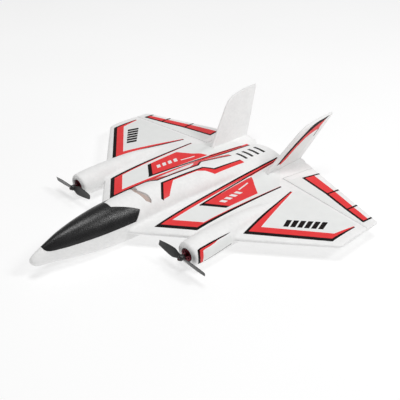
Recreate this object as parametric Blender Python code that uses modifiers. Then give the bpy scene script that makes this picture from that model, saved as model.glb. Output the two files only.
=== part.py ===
"""Radio-controlled flying wing: a hand-launched twin-motor foam jet with elevons.

World frame: metres, +Z up, nose towards -Y, port wing towards +X, standing on its flat belly at Z = 0.
Dimensions below are millimetres, and every mesh is scaled to metres as it is made.
"""
import math

import bmesh
import bpy
from mathutils import Matrix, Vector

MM = 0.001
GAP = 0.3                     # clearance between glued neighbours
SIDES = {"port": 1, "starboard": -1}

# Wing planform and aerofoil
HALF_SPAN = 171.0
LE_TIP_Y = 41.8               # leading edge of the straight line, at the tip
LE_SWEEP = 0.83               # metres aft per metre outboard
LE_INNER_X = 20.0             # inboard of this the leading edge is inside the fuselage
TE_BREAK_X = 56.0
TE_BREAK_Y = 141.0
TE_SLOPE = 0.36               # forward sweep of the trailing edge
WING_Z = 15.5                 # level of the leading and trailing edges
PARTING_Z = 12.5              # flat joint between upper moulding and lower mouldings
WING_LOW = 3.15               # depth of the underside below WING_Z
NOSE_LENGTH = 3.0             # the underside curves up over this length behind the leading edge

# Elevons
HINGE_INNER = Vector((57.3, 94.0, 15.3))
HINGE_SLOPE = 0.1048          # forward sweep of the hinge line
HINGE_BEVEL = math.radians(29.0)
HINGE_GAP = 0.35
ELEVON_END_GAP = 0.5

# Fuselage
CANOPY_Z = 22.0               # parting plane under the hatch
HATCH_FRONT_Y = -151.7        # where the hatch's base starts to curve up to its front edge
HATCH_FRONT_REACH = 8.7       # length and height of that curve
HATCH_FRONT_RISE = 4.3
HATCH_REAR_Y = -72.0
HATCH_REAR_SLOPE = 0.915
HATCH_HOLLOW = (-147.5, -92.0)
NOTCH_Y = -88.7               # blunt end of the tongue that the deck pushes into the hatch
NOTCH_HALF = 4.4
NOTCH_CORNER = 1.4
NOTCH_SLOPE = 2.12
HATCH_WALL = 3.2
VENT_DEPTH = 2.0              # arched recess across the deck, behind the hatch

# Bay inside the fuselage
BAY_FLOOR_Z = 5.5
BAY_HALF = 12.5
BAY_FRONT_Y = -110.0
BAY_REAR_Y = 12.0
FOREBAY_HALF = 8.0
FOREBAY_FRONT_Y = -130.0
FOREBAY_FLOOR_Z = 8.0

# Nacelles, motors and propellers
NACELLE_X = 83.3
NACELLE_Z = 14.5
BORE_RADIUS = 6.7
MOUNT_RADIUS = 9.3
SHAFT_RADIUS = 0.75
PROP_RADIUS = 29.8
PROP_Y = -72.0
PROP_TILT = math.radians(3.0)

# Fins
FIN_CANT = math.radians(17.0)
FIN_ROOT_X = 40.2
FIN_ROOT_Z = 17.5
FIN_THICKNESS = 4.6

# Elevon control linkage
HORN_STATION = 17.8           # distance of the linkage from the inner end of the hinge line
LINK_RADIUS = 8.0             # hinge to horn hole, and servo shaft to arm hole
SERVO_AHEAD = 34.0            # hinge line to servo shaft
SERVO_Z = 12.5
WIRE_RADIUS = 0.42

# Spar and wiring
SPAR_Y = 72.0
SPAR_HALF_SPAN = 118.0
SPAR_SIZE = 3.0
LEAD_RADIUS = 0.7
LEAD_Z = 13.4
MOTOR_LEAD_Y = -20.0


# ---------------------------------------------------------------- scene helpers

def clear_scene():
    for obj in list(bpy.data.objects):
        bpy.data.objects.remove(obj, do_unlink=True)


def new_collection(name):
    group = bpy.data.collections.new(name)
    bpy.context.scene.collection.children.link(group)
    return group


def new_material(name, colour, roughness, metallic=0.0):
    mat = bpy.data.materials.new(name)
    mat.use_nodes = True
    shader = mat.node_tree.nodes["Principled BSDF"]
    shader.inputs["Base Color"].default_value = (*colour, 1.0)
    shader.inputs["Roughness"].default_value = roughness
    shader.inputs["Metallic"].default_value = metallic
    return mat


clear_scene()
MODEL = new_collection("rc_flying_wing")
CUTTERS = new_collection("rc_flying_wing_cutters")

FOAM = new_material("white_foam", (0.86, 0.86, 0.85), 0.62)
CANOPY = new_material("black_canopy", (0.02, 0.02, 0.022), 0.45)
BLACK_PLASTIC = new_material("black_plastic", (0.03, 0.03, 0.032), 0.4)
WINE_METAL = new_material("wine_anodised", (0.22, 0.02, 0.035), 0.3, 0.9)
STEEL = new_material("steel", (0.55, 0.55, 0.56), 0.3, 1.0)
COPPER = new_material("copper_winding", (0.55, 0.25, 0.12), 0.4, 0.9)
CARBON = new_material("carbon", (0.03, 0.03, 0.03), 0.5)
BOARD = new_material("board_green", (0.03, 0.14, 0.07), 0.5)
WRAP = new_material("battery_wrap", (0.12, 0.13, 0.16), 0.4)
LOOP = new_material("hook_and_loop", (0.02, 0.02, 0.02), 0.95)
WIRE = new_material("wire_insulation", (0.5, 0.03, 0.03), 0.5)
CONNECTOR = new_material("connector", (0.75, 0.74, 0.68), 0.5)


def place(obj, group):
    group.objects.link(obj)
    if group is CUTTERS:
        obj.hide_render = True
        obj.display_type = 'WIRE'
    return obj


def mesh_object(name, bm, mat=None, origin=(0, 0, 0), group=None):
    """Turn world-millimetre geometry into a metre object whose origin is at origin."""
    bmesh.ops.recalc_face_normals(bm, faces=bm.faces)
    bmesh.ops.translate(bm, verts=bm.verts, vec=-Vector(origin))
    bmesh.ops.scale(bm, verts=bm.verts, vec=(MM, MM, MM))
    mesh = bpy.data.meshes.new(name)
    bm.to_mesh(mesh)
    bm.free()
    if mat:
        mesh.materials.append(mat)
        mesh.shade_smooth()
        mesh.set_sharp_from_angle(angle=math.radians(35))
    obj = bpy.data.objects.new(name, mesh)
    obj.location = Vector(origin) * MM
    return place(obj, group or MODEL)


def boolean(obj, operand, operation='DIFFERENCE'):
    step = obj.modifiers.new(operation.lower() + "_" + operand.name, 'BOOLEAN')
    step.object = operand
    step.operation = operation
    step.solver = 'EXACT'
    return step


def bevel(obj, width, segments=2, angle=40):
    step = obj.modifiers.new("rounded_edges", 'BEVEL')
    step.width = width * MM
    step.segments = segments
    step.limit_method = 'ANGLE'
    step.angle_limit = math.radians(angle)
    return step


# ---------------------------------------------------------------- geometry helpers (millimetres)

def box(low, high, bm=None, matrix=None):
    bm = bm or bmesh.new()
    low = Vector(low)
    high = Vector(high)
    made = bmesh.ops.create_cube(bm, size=1.0)["verts"]
    bmesh.ops.scale(bm, verts=made, vec=high - low)
    bmesh.ops.translate(bm, verts=made, vec=(low + high) / 2)
    if matrix:
        bmesh.ops.transform(bm, matrix=matrix, verts=made)
    return bm


def cylinder(start, end, radius, sides=24, bm=None, end_radius=None):
    bm = bm or bmesh.new()
    start = Vector(start)
    axis = Vector(end) - start
    turn = axis.to_track_quat('Z', 'Y').to_matrix().to_4x4()
    made = bmesh.ops.create_cone(
        bm, cap_ends=True, segments=sides, radius1=radius,
        radius2=radius if end_radius is None else end_radius, depth=axis.length)["verts"]
    bmesh.ops.transform(bm, matrix=Matrix.Translation(start + axis / 2) @ turn, verts=made)
    return bm


def prism(outline, direction):
    """Extrude a closed outline of 3D points along a vector."""
    bm = bmesh.new()
    face = bm.faces.new([bm.verts.new(point) for point in outline])
    made = bmesh.ops.extrude_face_region(bm, geom=[face])["geom"]
    moved = [item for item in made if isinstance(item, bmesh.types.BMVert)]
    bmesh.ops.translate(bm, verts=moved, vec=direction)
    return bm


def loft(rings):
    """Skin a list of rings that have the same number of points, and cap both ends."""
    bm = bmesh.new()
    rows = [[bm.verts.new(point) for point in ring] for ring in rings]
    count = len(rows[0])
    for near, far in zip(rows, rows[1:]):
        for i in range(count):
            j = (i + 1) % count
            bm.faces.new((near[i], near[j], far[j], far[i]))
    bm.faces.new(rows[0])
    bm.faces.new(rows[-1])
    return bm


def turned(name, profile, origin, mat=None, sides=32, group=None, closed=False):
    """Screw a (radius, distance forward) profile about the fore-and-aft line through origin."""
    bm = bmesh.new()
    verts = [bm.verts.new((radius * MM, 0, forward * MM)) for radius, forward in profile]
    pairs = list(zip(verts, verts[1:]))
    if closed:
        pairs.append((verts[-1], verts[0]))
    for pair in pairs:
        bm.edges.new(pair)
    mesh = bpy.data.meshes.new(name)
    bm.to_mesh(mesh)
    bm.free()
    if mat:
        mesh.materials.append(mat)
    obj = bpy.data.objects.new(name, mesh)
    obj.location = Vector(origin) * MM
    obj.rotation_euler = (math.radians(90), 0, 0)
    screw = obj.modifiers.new("turn", 'SCREW')
    screw.steps = sides
    screw.render_steps = sides
    screw.use_merge_vertices = True
    screw.merge_threshold = 0.00001
    screw.use_smooth_shade = True
    return place(obj, group or MODEL)


def wire_path(points, corner=1.2, steps=4):
    """Round each corner of a polyline with a short quadratic arc."""
    points = [Vector(point) for point in points]
    path = [points[0]]
    for before, here, after in zip(points, points[1:], points[2:]):
        start = here + (before - here).normalized() * corner
        stop = here + (after - here).normalized() * corner
        for k in range(steps + 1):
            t = k / steps
            path.append(start * (1 - t) ** 2 + here * 2 * t * (1 - t) + stop * t ** 2)
    path.append(points[-1])
    return path


def wire(name, points, radius, mat, origin=(0, 0, 0)):
    """A round wire along a polyline with rounded corners."""
    curve = bpy.data.curves.new(name, 'CURVE')
    curve.dimensions = '3D'
    curve.bevel_depth = radius * MM
    curve.bevel_resolution = 2
    curve.use_fill_caps = True
    path = wire_path(points)
    spline = curve.splines.new('POLY')
    spline.points.add(len(path) - 1)
    for point, target in zip(spline.points, path):
        point.co = (*((target - Vector(origin)) * MM), 1.0)
    curve.materials.append(mat)
    obj = bpy.data.objects.new(name, curve)
    obj.location = Vector(origin) * MM
    return place(obj, MODEL)


def along(table, position):
    """Smooth interpolation in a table of (position, value) pairs."""
    if position <= table[0][0]:
        return table[0][1]
    if position >= table[-1][0]:
        return table[-1][1]
    i = max(k for k in range(len(table) - 1) if table[k][0] <= position)
    (x0, y0), (x1, y1) = table[i], table[i + 1]

    def slope(k):
        if k == 0 or k == len(table) - 1:
            other = 1 if k == 0 else k - 1
            return (table[other][1] - table[k][1]) / (table[other][0] - table[k][0])
        back = (table[k][1] - table[k - 1][1]) / (table[k][0] - table[k - 1][0])
        fore = (table[k + 1][1] - table[k][1]) / (table[k + 1][0] - table[k][0])
        return 0.0 if back * fore <= 0 else 2 * back * fore / (back + fore)

    width = x1 - x0
    t = (position - x0) / width
    return (y0 * (1 + 2 * t) * (1 - t) ** 2 + slope(i) * width * t * (1 - t) ** 2
            + y1 * t * t * (3 - 2 * t) + slope(i + 1) * width * t * t * (t - 1))


def signed_power(value, exponent):
    return math.copysign(abs(value) ** exponent, value)


# ---------------------------------------------------------------- wing

UPPER_RISE = [(0, 5.0), (60, 4.9), (100, 4.2), (140, 3.2), (171, 2.4)]
LOWER_DEPTH = [(0, WING_LOW), (100, WING_LOW), (171, 2.6)]
TRAILING_EDGE = [(0, 136.0), (16, 136.0), (29, 146.0), (45, 145.5), (56, 141.0)]
# At each rounded tip station: leading edge set back, trailing edge set forward, thickness factor
TIP_ROUNDING = {169.0: (0.5, 0.3, 0.9), 170.5: (1.6, 1.0, 0.68), HALF_SPAN: (3.2, 2.2, 0.35)}


def leading_edge(x):
    return LE_TIP_Y - LE_SWEEP * (HALF_SPAN - max(abs(x), LE_INNER_X))


def trailing_edge(x):
    x = abs(x)
    if x >= TE_BREAK_X:
        return TE_BREAK_Y - TE_SLOPE * (x - TE_BREAK_X)
    for (x0, y0), (x1, y1) in zip(TRAILING_EDGE, TRAILING_EDGE[1:]):
        if x <= x1:
            return y0 + (y1 - y0) * (x - x0) / (x1 - x0)
    return TE_BREAK_Y


def chord_fraction(x, y):
    front = leading_edge(x)
    return (y - front) / (trailing_edge(x) - front)


def aerofoil(t):
    """Half thickness of a classic aerofoil, scaled to 1 at its deepest."""
    t = min(max(t, 0.0), 1.0)
    return 10 * (0.2969 * math.sqrt(t) - 0.126 * t - 0.3516 * t ** 2 + 0.2843 * t ** 3 - 0.1036 * t ** 4)


def underside(t, chord):
    """Flat underside with a rounded nose, thinning over the elevon."""
    nose = NOSE_LENGTH / chord
    thin_from = 0.78
    if t < nose:
        return math.sqrt(1 - (1 - t / nose) ** 2)
    if t < thin_from:
        return 1.0
    return 1.0 - 0.5 * (t - thin_from) / (1 - thin_from)


def wing_top(x, y):
    return WING_Z + along(UPPER_RISE, abs(x)) * aerofoil(chord_fraction(x, y))


def wing_bottom(x, y):
    chord = trailing_edge(x) - leading_edge(x)
    return WING_Z - along(LOWER_DEPTH, abs(x)) * underside(chord_fraction(x, y), chord)


CHORD_STEPS = (0.004, 0.015, 0.035, 0.07, 0.13, 0.22, 0.34, 0.48, 0.62, 0.78, 0.9, 1.0)


def wing_ring(x):
    back, forward, thick = TIP_ROUNDING.get(abs(x), (0.0, 0.0, 1.0))
    front = leading_edge(x) + back
    chord = trailing_edge(x) - forward - front
    rise = along(UPPER_RISE, abs(x)) * thick
    depth = along(LOWER_DEPTH, abs(x)) * thick
    ring = [(x, front + chord * t, WING_Z + rise * aerofoil(t)) for t in reversed(CHORD_STEPS)]
    ring.append((x, front, WING_Z))
    ring += [(x, front + chord * t, WING_Z - depth * underside(t, chord)) for t in CHORD_STEPS]
    return ring


def wing_solid():
    half = [0, 16, 29, 45, 56, 75, 95, 115, 135, 155, 165, 169.0, 170.5, HALF_SPAN]
    stations = [-x for x in reversed(half[1:])] + half
    return loft([wing_ring(x) for x in stations])


# ---------------------------------------------------------------- fuselage

HALF_WIDTH = [(-173.5, 1.2), (-172, 2.9), (-168.5, 4.4), (-161, 5.3), (-154.5, 6.3), (-147.5, 8.4),
              (-139.5, 10.8), (-120, 15.0), (-107.5, 17.1), (-89.5, 19.0), (-71.5, 20.4), (-47.5, 21.6),
              (-7.5, 23.0), (31.5, 24.0), (62.5, 24.0), (92.5, 23.0), (120.5, 21.0), (136.3, 18.0)]
CREST = [(-173.5, 17.6), (-172, 19.8), (-168.5, 22.4), (-160, 26.4), (-151.5, 29.8), (-139.5, 33.2),
         (-120.5, 36.8), (-107.5, 38.3), (-88.5, 39.6), (-71.5, 39.6), (-47.5, 39.2), (-7.5, 37.4),
         (31.5, 34.2), (62.5, 29.0), (92.5, 23.9), (120.5, 21.6), (133, 20.2), (136.3, 18.6)]
KEEL = [(-173.5, 14.9), (-172, 12.6), (-168.5, 10.2), (-160, 8.2), (-139.5, 5.4), (-120.5, 3.3),
        (-107.5, 1.8), (-87.5, 0.5), (-71.5, -0.25), (62.5, -0.25), (92.5, 4.2), (125, 12.6), (136.3, 13.4)]
WAIST = [(-173.5, 16.2), (-168.5, 16.6), (-161, 18.0), (-151, 19.4), (-140, 20.0), (31.5, 20.0),
         (62.5, 18.2), (92.5, 16.5), (136.3, 15.5)]
LOWER_SQUARENESS = [(-173.5, 2.1), (-150, 2.6), (-120, 3.6), (-90, 4.0), (62.5, 4.0), (120, 3.0),
                    (136.3, 2.4)]
UPPER_SQUARENESS = 1.85
FUSELAGE_STATIONS = (-173.5, -172.6, -171, -168.5, -164.5, -160, -154.5, -147.5, -139.5, -130, -120, -110,
                     -100, -89.5, -80, -71.5, -60, -47.5, -30, -12, 8, 28, 46, 62.5, 78, 92.5, 108, 122,
                     133, 136.3)


def fuselage_ring(y, inset=0.0, points=28):
    width = along(HALF_WIDTH, y) - inset
    waist = along(WAIST, y)
    top = along(CREST, y) - inset
    bottom = along(KEEL, y) + inset
    square = along(LOWER_SQUARENESS, y)
    ring = []
    for k in range(points):
        angle = 2 * math.pi * k / points
        power = 2 / (UPPER_SQUARENESS if math.sin(angle) >= 0 else square)
        reach = top - waist if math.sin(angle) >= 0 else waist - bottom
        ring.append((width * signed_power(math.cos(angle), power), y,
                     waist + reach * signed_power(math.sin(angle), power)))
    return ring


def fuselage_solid(inset=0.0, front=FUSELAGE_STATIONS[0], rear=FUSELAGE_STATIONS[-1]):
    stations = [front] + [y for y in FUSELAGE_STATIONS if front < y < rear] + [rear]
    return loft([fuselage_ring(y, inset) for y in stations])


def hatch_side_cut(clearance):
    """Side profile of the space that the hatch fills, right across the fuselage."""
    reach = 28.0
    base = CANOPY_Z - clearance
    rear = HATCH_REAR_Y + clearance * 1.4
    top = base + reach
    outline = [(-40, rear, base), (-40, rear + HATCH_REAR_SLOPE * reach, top)]
    front = HATCH_FRONT_Y - HATCH_FRONT_REACH - clearance
    outline.append((-40, front, top))
    steps = 6
    for k in range(steps, -1, -1):
        angle = math.pi / 2 * k / steps
        y = HATCH_FRONT_Y - (HATCH_FRONT_REACH + clearance) * math.sin(angle)
        fall = (HATCH_FRONT_RISE + clearance) * math.cos(angle)
        outline.append((-40, y, CANOPY_Z + HATCH_FRONT_RISE - fall))
    return prism(outline, (80, 0, 0))


def notch_cut(clearance):
    """Plan outline of the deck's forward-pointing tongue: a blunt end, then widening aft."""
    tip = NOTCH_Y + clearance
    narrow = NOTCH_HALF - 0.6 * clearance
    wide = 40.0
    bend = narrow + NOTCH_CORNER
    shoulder = tip + NOTCH_CORNER
    half = [(narrow, tip), (narrow + 0.75 * NOTCH_CORNER, tip + 0.35 * NOTCH_CORNER), (bend, shoulder),
            (wide, shoulder + NOTCH_SLOPE * (wide - bend)), (wide, 60)]
    outline = [(x, y, -10) for x, y in half] + [(-x, y, -10) for x, y in reversed(half)]
    return prism(outline, (0, 0, 80))


def hatch_space(name, clearance):
    """The hatch's own space, as a cutter."""
    side = mesh_object(name, hatch_side_cut(clearance), group=CUTTERS)
    notch = mesh_object(name + "_notch", notch_cut(clearance), group=CUTTERS)
    boolean(side, notch)
    return side


def vent_space():
    """Arched recess across the deck, of even depth below the fuselage surface."""
    front = [(0, -57.0), (6.7, -55.4), (13.8, -53.8)]
    rear = [(16.6, -49.6), (14.6, -47.9), (10.4, -47.7), (5.4, -50.0), (0, -52.6)]
    port = front + rear
    starboard = [(-x, y) for x, y in reversed(port[1:-1])]
    outline = prism([(x, y, 24) for x, y in port + starboard], (0, 0, 30))
    space = mesh_object("vent_space", outline, group=CUTTERS)
    floor = mesh_object("vent_floor", fuselage_solid(VENT_DEPTH, -75.0, -30.0), group=CUTTERS)
    boolean(space, floor)
    return space


def bay_cutter(name):
    """Battery and receiver bay, open upwards to the hatch."""
    bay = mesh_object(name, box((-BAY_HALF, BAY_FRONT_Y, BAY_FLOOR_Z), (BAY_HALF, BAY_REAR_Y, CANOPY_Z + 0.6)),
                      group=CUTTERS)
    fore = box((-FOREBAY_HALF, FOREBAY_FRONT_Y, FOREBAY_FLOOR_Z),
               (FOREBAY_HALF, BAY_FRONT_Y + 4, CANOPY_Z + 0.4))
    boolean(bay, mesh_object(name + "_front", fore, group=CUTTERS), 'UNION')
    return bay


# ---------------------------------------------------------------- nacelles, booms and fins

NACELLE_PROFILE = [(0, 66), (10.0, 66), (11.4, 65.3), (12.1, 63.7), (12.9, 52), (13.0, 38), (12.9, 20),
                   (12.2, 0), (10.6, -18), (8.2, -34), (5.0, -50), (2.2, -60), (0, -63)]
BORE_PROFILE = [(0, 72), (BORE_RADIUS, 72), (BORE_RADIUS, 51.3), (MOUNT_RADIUS + 0.4, 51.3),
                (MOUNT_RADIUS + 0.4, 48.2), (7, 48.2), (7, 12), (0, 12)]


def nacelle_body(name, side, profile, mat=None, group=None):
    return turned(name, profile, (side * NACELLE_X, 0, NACELLE_Z), mat, 36, group)


def boom_solid(side):
    """Low ridge that carries a fin, from mid chord to the trailing edge."""
    stations = [(45, 3.5, 18.4), (60, 6.0, 19.9), (82, 8.0, 21.0), (110, 8.6, 20.2), (135, 8.4, 18.9),
                (143, 7.8, 18.3), (145.9, 6.6, 17.2)]
    rings = []
    for y, half, top in stations:
        ring = []
        for k in range(16):
            angle = 2 * math.pi * k / 16
            up = top - WING_Z if math.sin(angle) > 0 else WING_Z - 11.0
            ring.append((side * (FIN_ROOT_X + 0.3) + half * signed_power(math.cos(angle), 0.8), y,
                         WING_Z + up * signed_power(math.sin(angle), 0.8)))
        rings.append(ring)
    return loft(rings)


def fin_outline(grow=0.0):
    """Side outline of a fin (y, height up its own slope), from the buried root tab to the tip."""
    return [(84.0 - grow, -2.6 - grow), (84.0 - grow, 1.6), (120.0, 42.6), (125.6, 47.2), (132.5, 50.2),
            (150.0, 52.9), (173.5, 53.8), (173.0, 52.4), (142.6 + grow, -0.4), (142.6 + grow, -2.6 - grow)]


def fin_matrix(side):
    """Fin frame: x across its thickness, y aft, z up its canted slope."""
    turn = Matrix.Rotation(side * FIN_CANT, 4, 'Y')
    return Matrix.Translation((side * FIN_ROOT_X, 0, FIN_ROOT_Z)) @ turn


def fin_plate(side, thickness, grow=0.0):
    bm = prism([(-thickness / 2, y, z) for y, z in fin_outline(grow)], (thickness, 0, 0))
    bmesh.ops.transform(bm, matrix=fin_matrix(side), verts=bm.verts)
    return bm


# ---------------------------------------------------------------- elevon frame

def hinge_frame(side):
    """Matrix of the hinge line: x outboard along it, y aft, z up, origin at its inner end."""
    along_hinge = Vector((side, -HINGE_SLOPE, 0)).normalized()
    aft = Vector((side * HINGE_SLOPE, 1, 0)).normalized()
    origin = Vector((side * HINGE_INNER.x, HINGE_INNER.y, HINGE_INNER.z))
    frame = Matrix.Identity(4)
    for axis, vector in enumerate((along_hinge, aft, Vector((0, 0, 1)))):
        for row in range(3):
            frame[row][axis] = vector[row]
    frame.translation = origin
    return frame


def hinge_point(side, station, aft=0.0, up=0.0):
    return hinge_frame(side) @ Vector((station, aft, up))


def elevon_zone(side):
    """Space cut from the wing for an elevon and its hinge gap."""
    outline = [(-ELEVON_END_GAP, -HINGE_GAP, -8), (130, -HINGE_GAP, -8), (130, 70, -8),
               (-ELEVON_END_GAP, 70, -8)]
    bm = prism([hinge_frame(side) @ Vector(point) for point in outline], (0, 0, 20))
    return mesh_object("elevon_space_" + str(side), bm, group=CUTTERS)


def elevon_solid(side):
    """Bevelled-front elevon: its apex lies on the hinge axis."""
    tip = (HALF_SPAN - HINGE_INNER.x) * math.sqrt(1 + HINGE_SLOPE ** 2)
    stations = [(0.0, 0.0, 1.0), (38.0, 0.0, 1.0), (76.0, 0.0, 1.0), (tip - 4.5, 0.0, 1.0),
                (tip - 2.0, 0.3, 0.9), (tip - 0.9, 1.0, 0.68), (tip - 0.35, 2.2, 0.38)]
    rings = []
    for station, short, thick in stations:
        root = hinge_point(side, station)
        skew = HINGE_SLOPE * station / tip
        fall = 1 + skew * HINGE_SLOPE + TE_SLOPE * (HINGE_SLOPE - skew)
        reach = (trailing_edge(root.x) - root.y) * math.sqrt(1 + HINGE_SLOPE ** 2) / fall - short
        rows = [0.12, 0.4, 0.75, 1.0]
        upper = []
        lower = []
        front = hinge_point(side, station, 2.0)
        rise = (wing_top(front.x, front.y) - HINGE_INNER.z) * thick
        drop = (HINGE_INNER.z - wing_bottom(front.x, front.y)) * thick
        upper.append((rise * math.tan(HINGE_BEVEL) + 0.05, rise))
        lower.append((drop * math.tan(HINGE_BEVEL) + 0.05, -drop))
        for fraction in rows:
            aft = fraction * reach
            spot = hinge_point(side, station - skew * aft, aft)
            upper.append((aft, (wing_top(spot.x, spot.y) - HINGE_INNER.z) * thick))
            lower.append((aft, (wing_bottom(spot.x, spot.y) - HINGE_INNER.z) * thick))
        section = [(0.05, 0.0)] + upper + list(reversed(lower))
        rings.append([hinge_point(side, station - skew * aft, aft, up) for aft, up in section])
    return loft(rings)


# ---------------------------------------------------------------- foam mouldings

def upper_half_cutter(name, level, low):
    """A slab that removes everything below (low) or above level."""
    if low:
        return mesh_object(name, box((-200, -200, -30), (200, 200, level)), group=CUTTERS)
    return mesh_object(name, box((-200, -200, level), (200, 200, 120)), group=CUTTERS)


def groove(name, start, end, width, top, low=6.0):
    """Straight groove in the underside, from start to end in plan."""
    start = Vector((*start, 0))
    run = Vector((*end, 0)) - start
    turn = Matrix.Translation(start) @ Matrix.Rotation(math.atan2(run.y, run.x), 4, 'Z')
    bm = box((0, -width / 2, low), (run.length, width / 2, top), matrix=turn)
    return mesh_object(name, bm, group=CUTTERS)


def servo_pocket(side):
    frame = hinge_frame(side) @ Matrix.Translation((HORN_STATION, -SERVO_AHEAD, SERVO_Z - HINGE_INNER.z))
    return mesh_object("servo_pocket_" + str(side),
                       box((-12.9, -12.0, -8), (-1.5, 5.5, 4.9), matrix=frame), group=CUTTERS)


def arm_pocket(side):
    """Recess beside the servo in which its arm turns."""
    return mesh_object("arm_pocket_" + str(side),
                       box((-1.9, -4.0, -8), (2.6, 4.0, 3.3), matrix=link_frame(side, SERVO_AHEAD, SERVO_Z)),
                       group=CUTTERS)


def make_upper_moulding():
    """Wing, upper fuselage, nacelle tops and booms: the one big foam moulding."""
    airframe = mesh_object("wing_and_deck_moulding", wing_solid(), FOAM)
    boolean(airframe, mesh_object("deck_form", fuselage_solid(), group=CUTTERS), 'UNION')
    for tag, side in SIDES.items():
        boolean(airframe, nacelle_body("nacelle_form_" + tag, side, NACELLE_PROFILE, group=CUTTERS), 'UNION')
        boolean(airframe, mesh_object("boom_form_" + tag, boom_solid(side), group=CUTTERS), 'UNION')
    boolean(airframe, upper_half_cutter("below_parting", PARTING_Z, True))
    boolean(airframe, hatch_space("hatch_space_deck", GAP))
    boolean(airframe, bay_cutter("bay_space_deck"))
    boolean(airframe, vent_space())
    spar_half = SPAR_SIZE / 2 + GAP
    boolean(airframe, groove("spar_groove", (-SPAR_HALF_SPAN - GAP, SPAR_Y), (SPAR_HALF_SPAN + GAP, SPAR_Y),
                             2 * spar_half, PARTING_Z + SPAR_SIZE + 2 * GAP))
    for tag, side in SIDES.items():
        boolean(airframe, elevon_zone(side))
        boolean(airframe, nacelle_body("bore_" + tag, side, BORE_PROFILE, group=CUTTERS))
        boolean(airframe, servo_pocket(side))
        boolean(airframe, arm_pocket(side))
        boolean(airframe, groove("motor_lead_groove_" + tag, (side * 8, MOTOR_LEAD_Y),
                                 (side * 79, MOTOR_LEAD_Y), 2.4, LEAD_Z + LEAD_RADIUS + GAP))
        boolean(airframe, groove("servo_lead_groove_" + tag, (side * 9, 1.0), (side * 66, 49.0),
                                 2.4, LEAD_Z + LEAD_RADIUS + GAP))
        slot = mesh_object("fin_slot_" + tag, fin_plate(side, FIN_THICKNESS + 2 * GAP, GAP), group=CUTTERS)
        boolean(airframe, slot)
        boolean(airframe, magnet_cutter(tag, side))
    return airframe


def make_belly():
    belly = mesh_object("belly_tub", fuselage_solid(), FOAM)
    boolean(belly, upper_half_cutter("above_belly_joint", PARTING_Z - GAP, False))
    boolean(belly, upper_half_cutter("below_belly", 0.0, True))
    boolean(belly, bay_cutter("bay_space_belly"))


def make_nacelle_covers():
    for tag, side in SIDES.items():
        cover = nacelle_body("nacelle_cover_" + tag, side, NACELLE_PROFILE, FOAM)
        boolean(cover, upper_half_cutter("above_nacelle_joint_" + tag, PARTING_Z - GAP, False))
        boolean(cover, nacelle_body("cover_bore_" + tag, side, BORE_PROFILE, group=CUTTERS))


def make_hatch():
    """Black canopy: the whole hatch lifts off for the battery."""
    hatch = mesh_object("canopy_hatch", fuselage_solid(), CANOPY)
    boolean(hatch, hatch_space("hatch_space_hatch", 0.0), 'INTERSECT')
    hollow = mesh_object("hatch_hollow", fuselage_solid(HATCH_WALL, *HATCH_HOLLOW), group=CUTTERS)
    boolean(hatch, hollow)
    for tag, side in SIDES.items():
        x = side * MAGNET_X
        pocket = cylinder((x, MAGNET_Y, CANOPY_Z - 1), (x, MAGNET_Y, CANOPY_Z + MAGNET_HIGH + GAP),
                          MAGNET_RADIUS + GAP, 20)
        boolean(hatch, mesh_object("hatch_magnet_pocket_" + tag, pocket, group=CUTTERS))


def make_fins():
    for tag, side in SIDES.items():
        fin = mesh_object("fin_" + tag, fin_plate(side, FIN_THICKNESS), FOAM)
        bevel(fin, 1.2, 2, 30)


def make_elevons():
    for tag, side in SIDES.items():
        elevon = mesh_object("elevon_" + tag, elevon_solid(side), FOAM, hinge_point(side, 0))
        slot = box((HORN_STATION - 0.9, 4.5, -6), (HORN_STATION + 0.9, 10.1, -0.9), matrix=hinge_frame(side))
        boolean(elevon, mesh_object("horn_slot_" + tag, slot, group=CUTTERS))


# ---------------------------------------------------------------- hatch magnets

MAGNET_X = 16.3
MAGNET_Y = -80.5
MAGNET_RADIUS = 2.0
MAGNET_HIGH = 1.6


def magnet_cutter(tag, side):
    x = side * MAGNET_X
    pocket = cylinder((x, MAGNET_Y, CANOPY_Z - MAGNET_HIGH - 2 * GAP), (x, MAGNET_Y, CANOPY_Z + 2),
                      MAGNET_RADIUS + GAP, 20)
    return mesh_object("deck_magnet_pocket_" + tag, pocket, group=CUTTERS)


def make_magnets():
    for tag, side in SIDES.items():
        x = side * MAGNET_X
        low = CANOPY_Z - GAP - MAGNET_HIGH
        for owner, bottom in (("deck_magnet_", low), ("hatch_magnet_", CANOPY_Z)):
            disc = cylinder((x, MAGNET_Y, bottom), (x, MAGNET_Y, bottom + MAGNET_HIGH), MAGNET_RADIUS, 20)
            mesh_object(owner + tag, disc, STEEL)


# ---------------------------------------------------------------- motors and propellers

SCREW_SPREAD = 3.6


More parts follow.
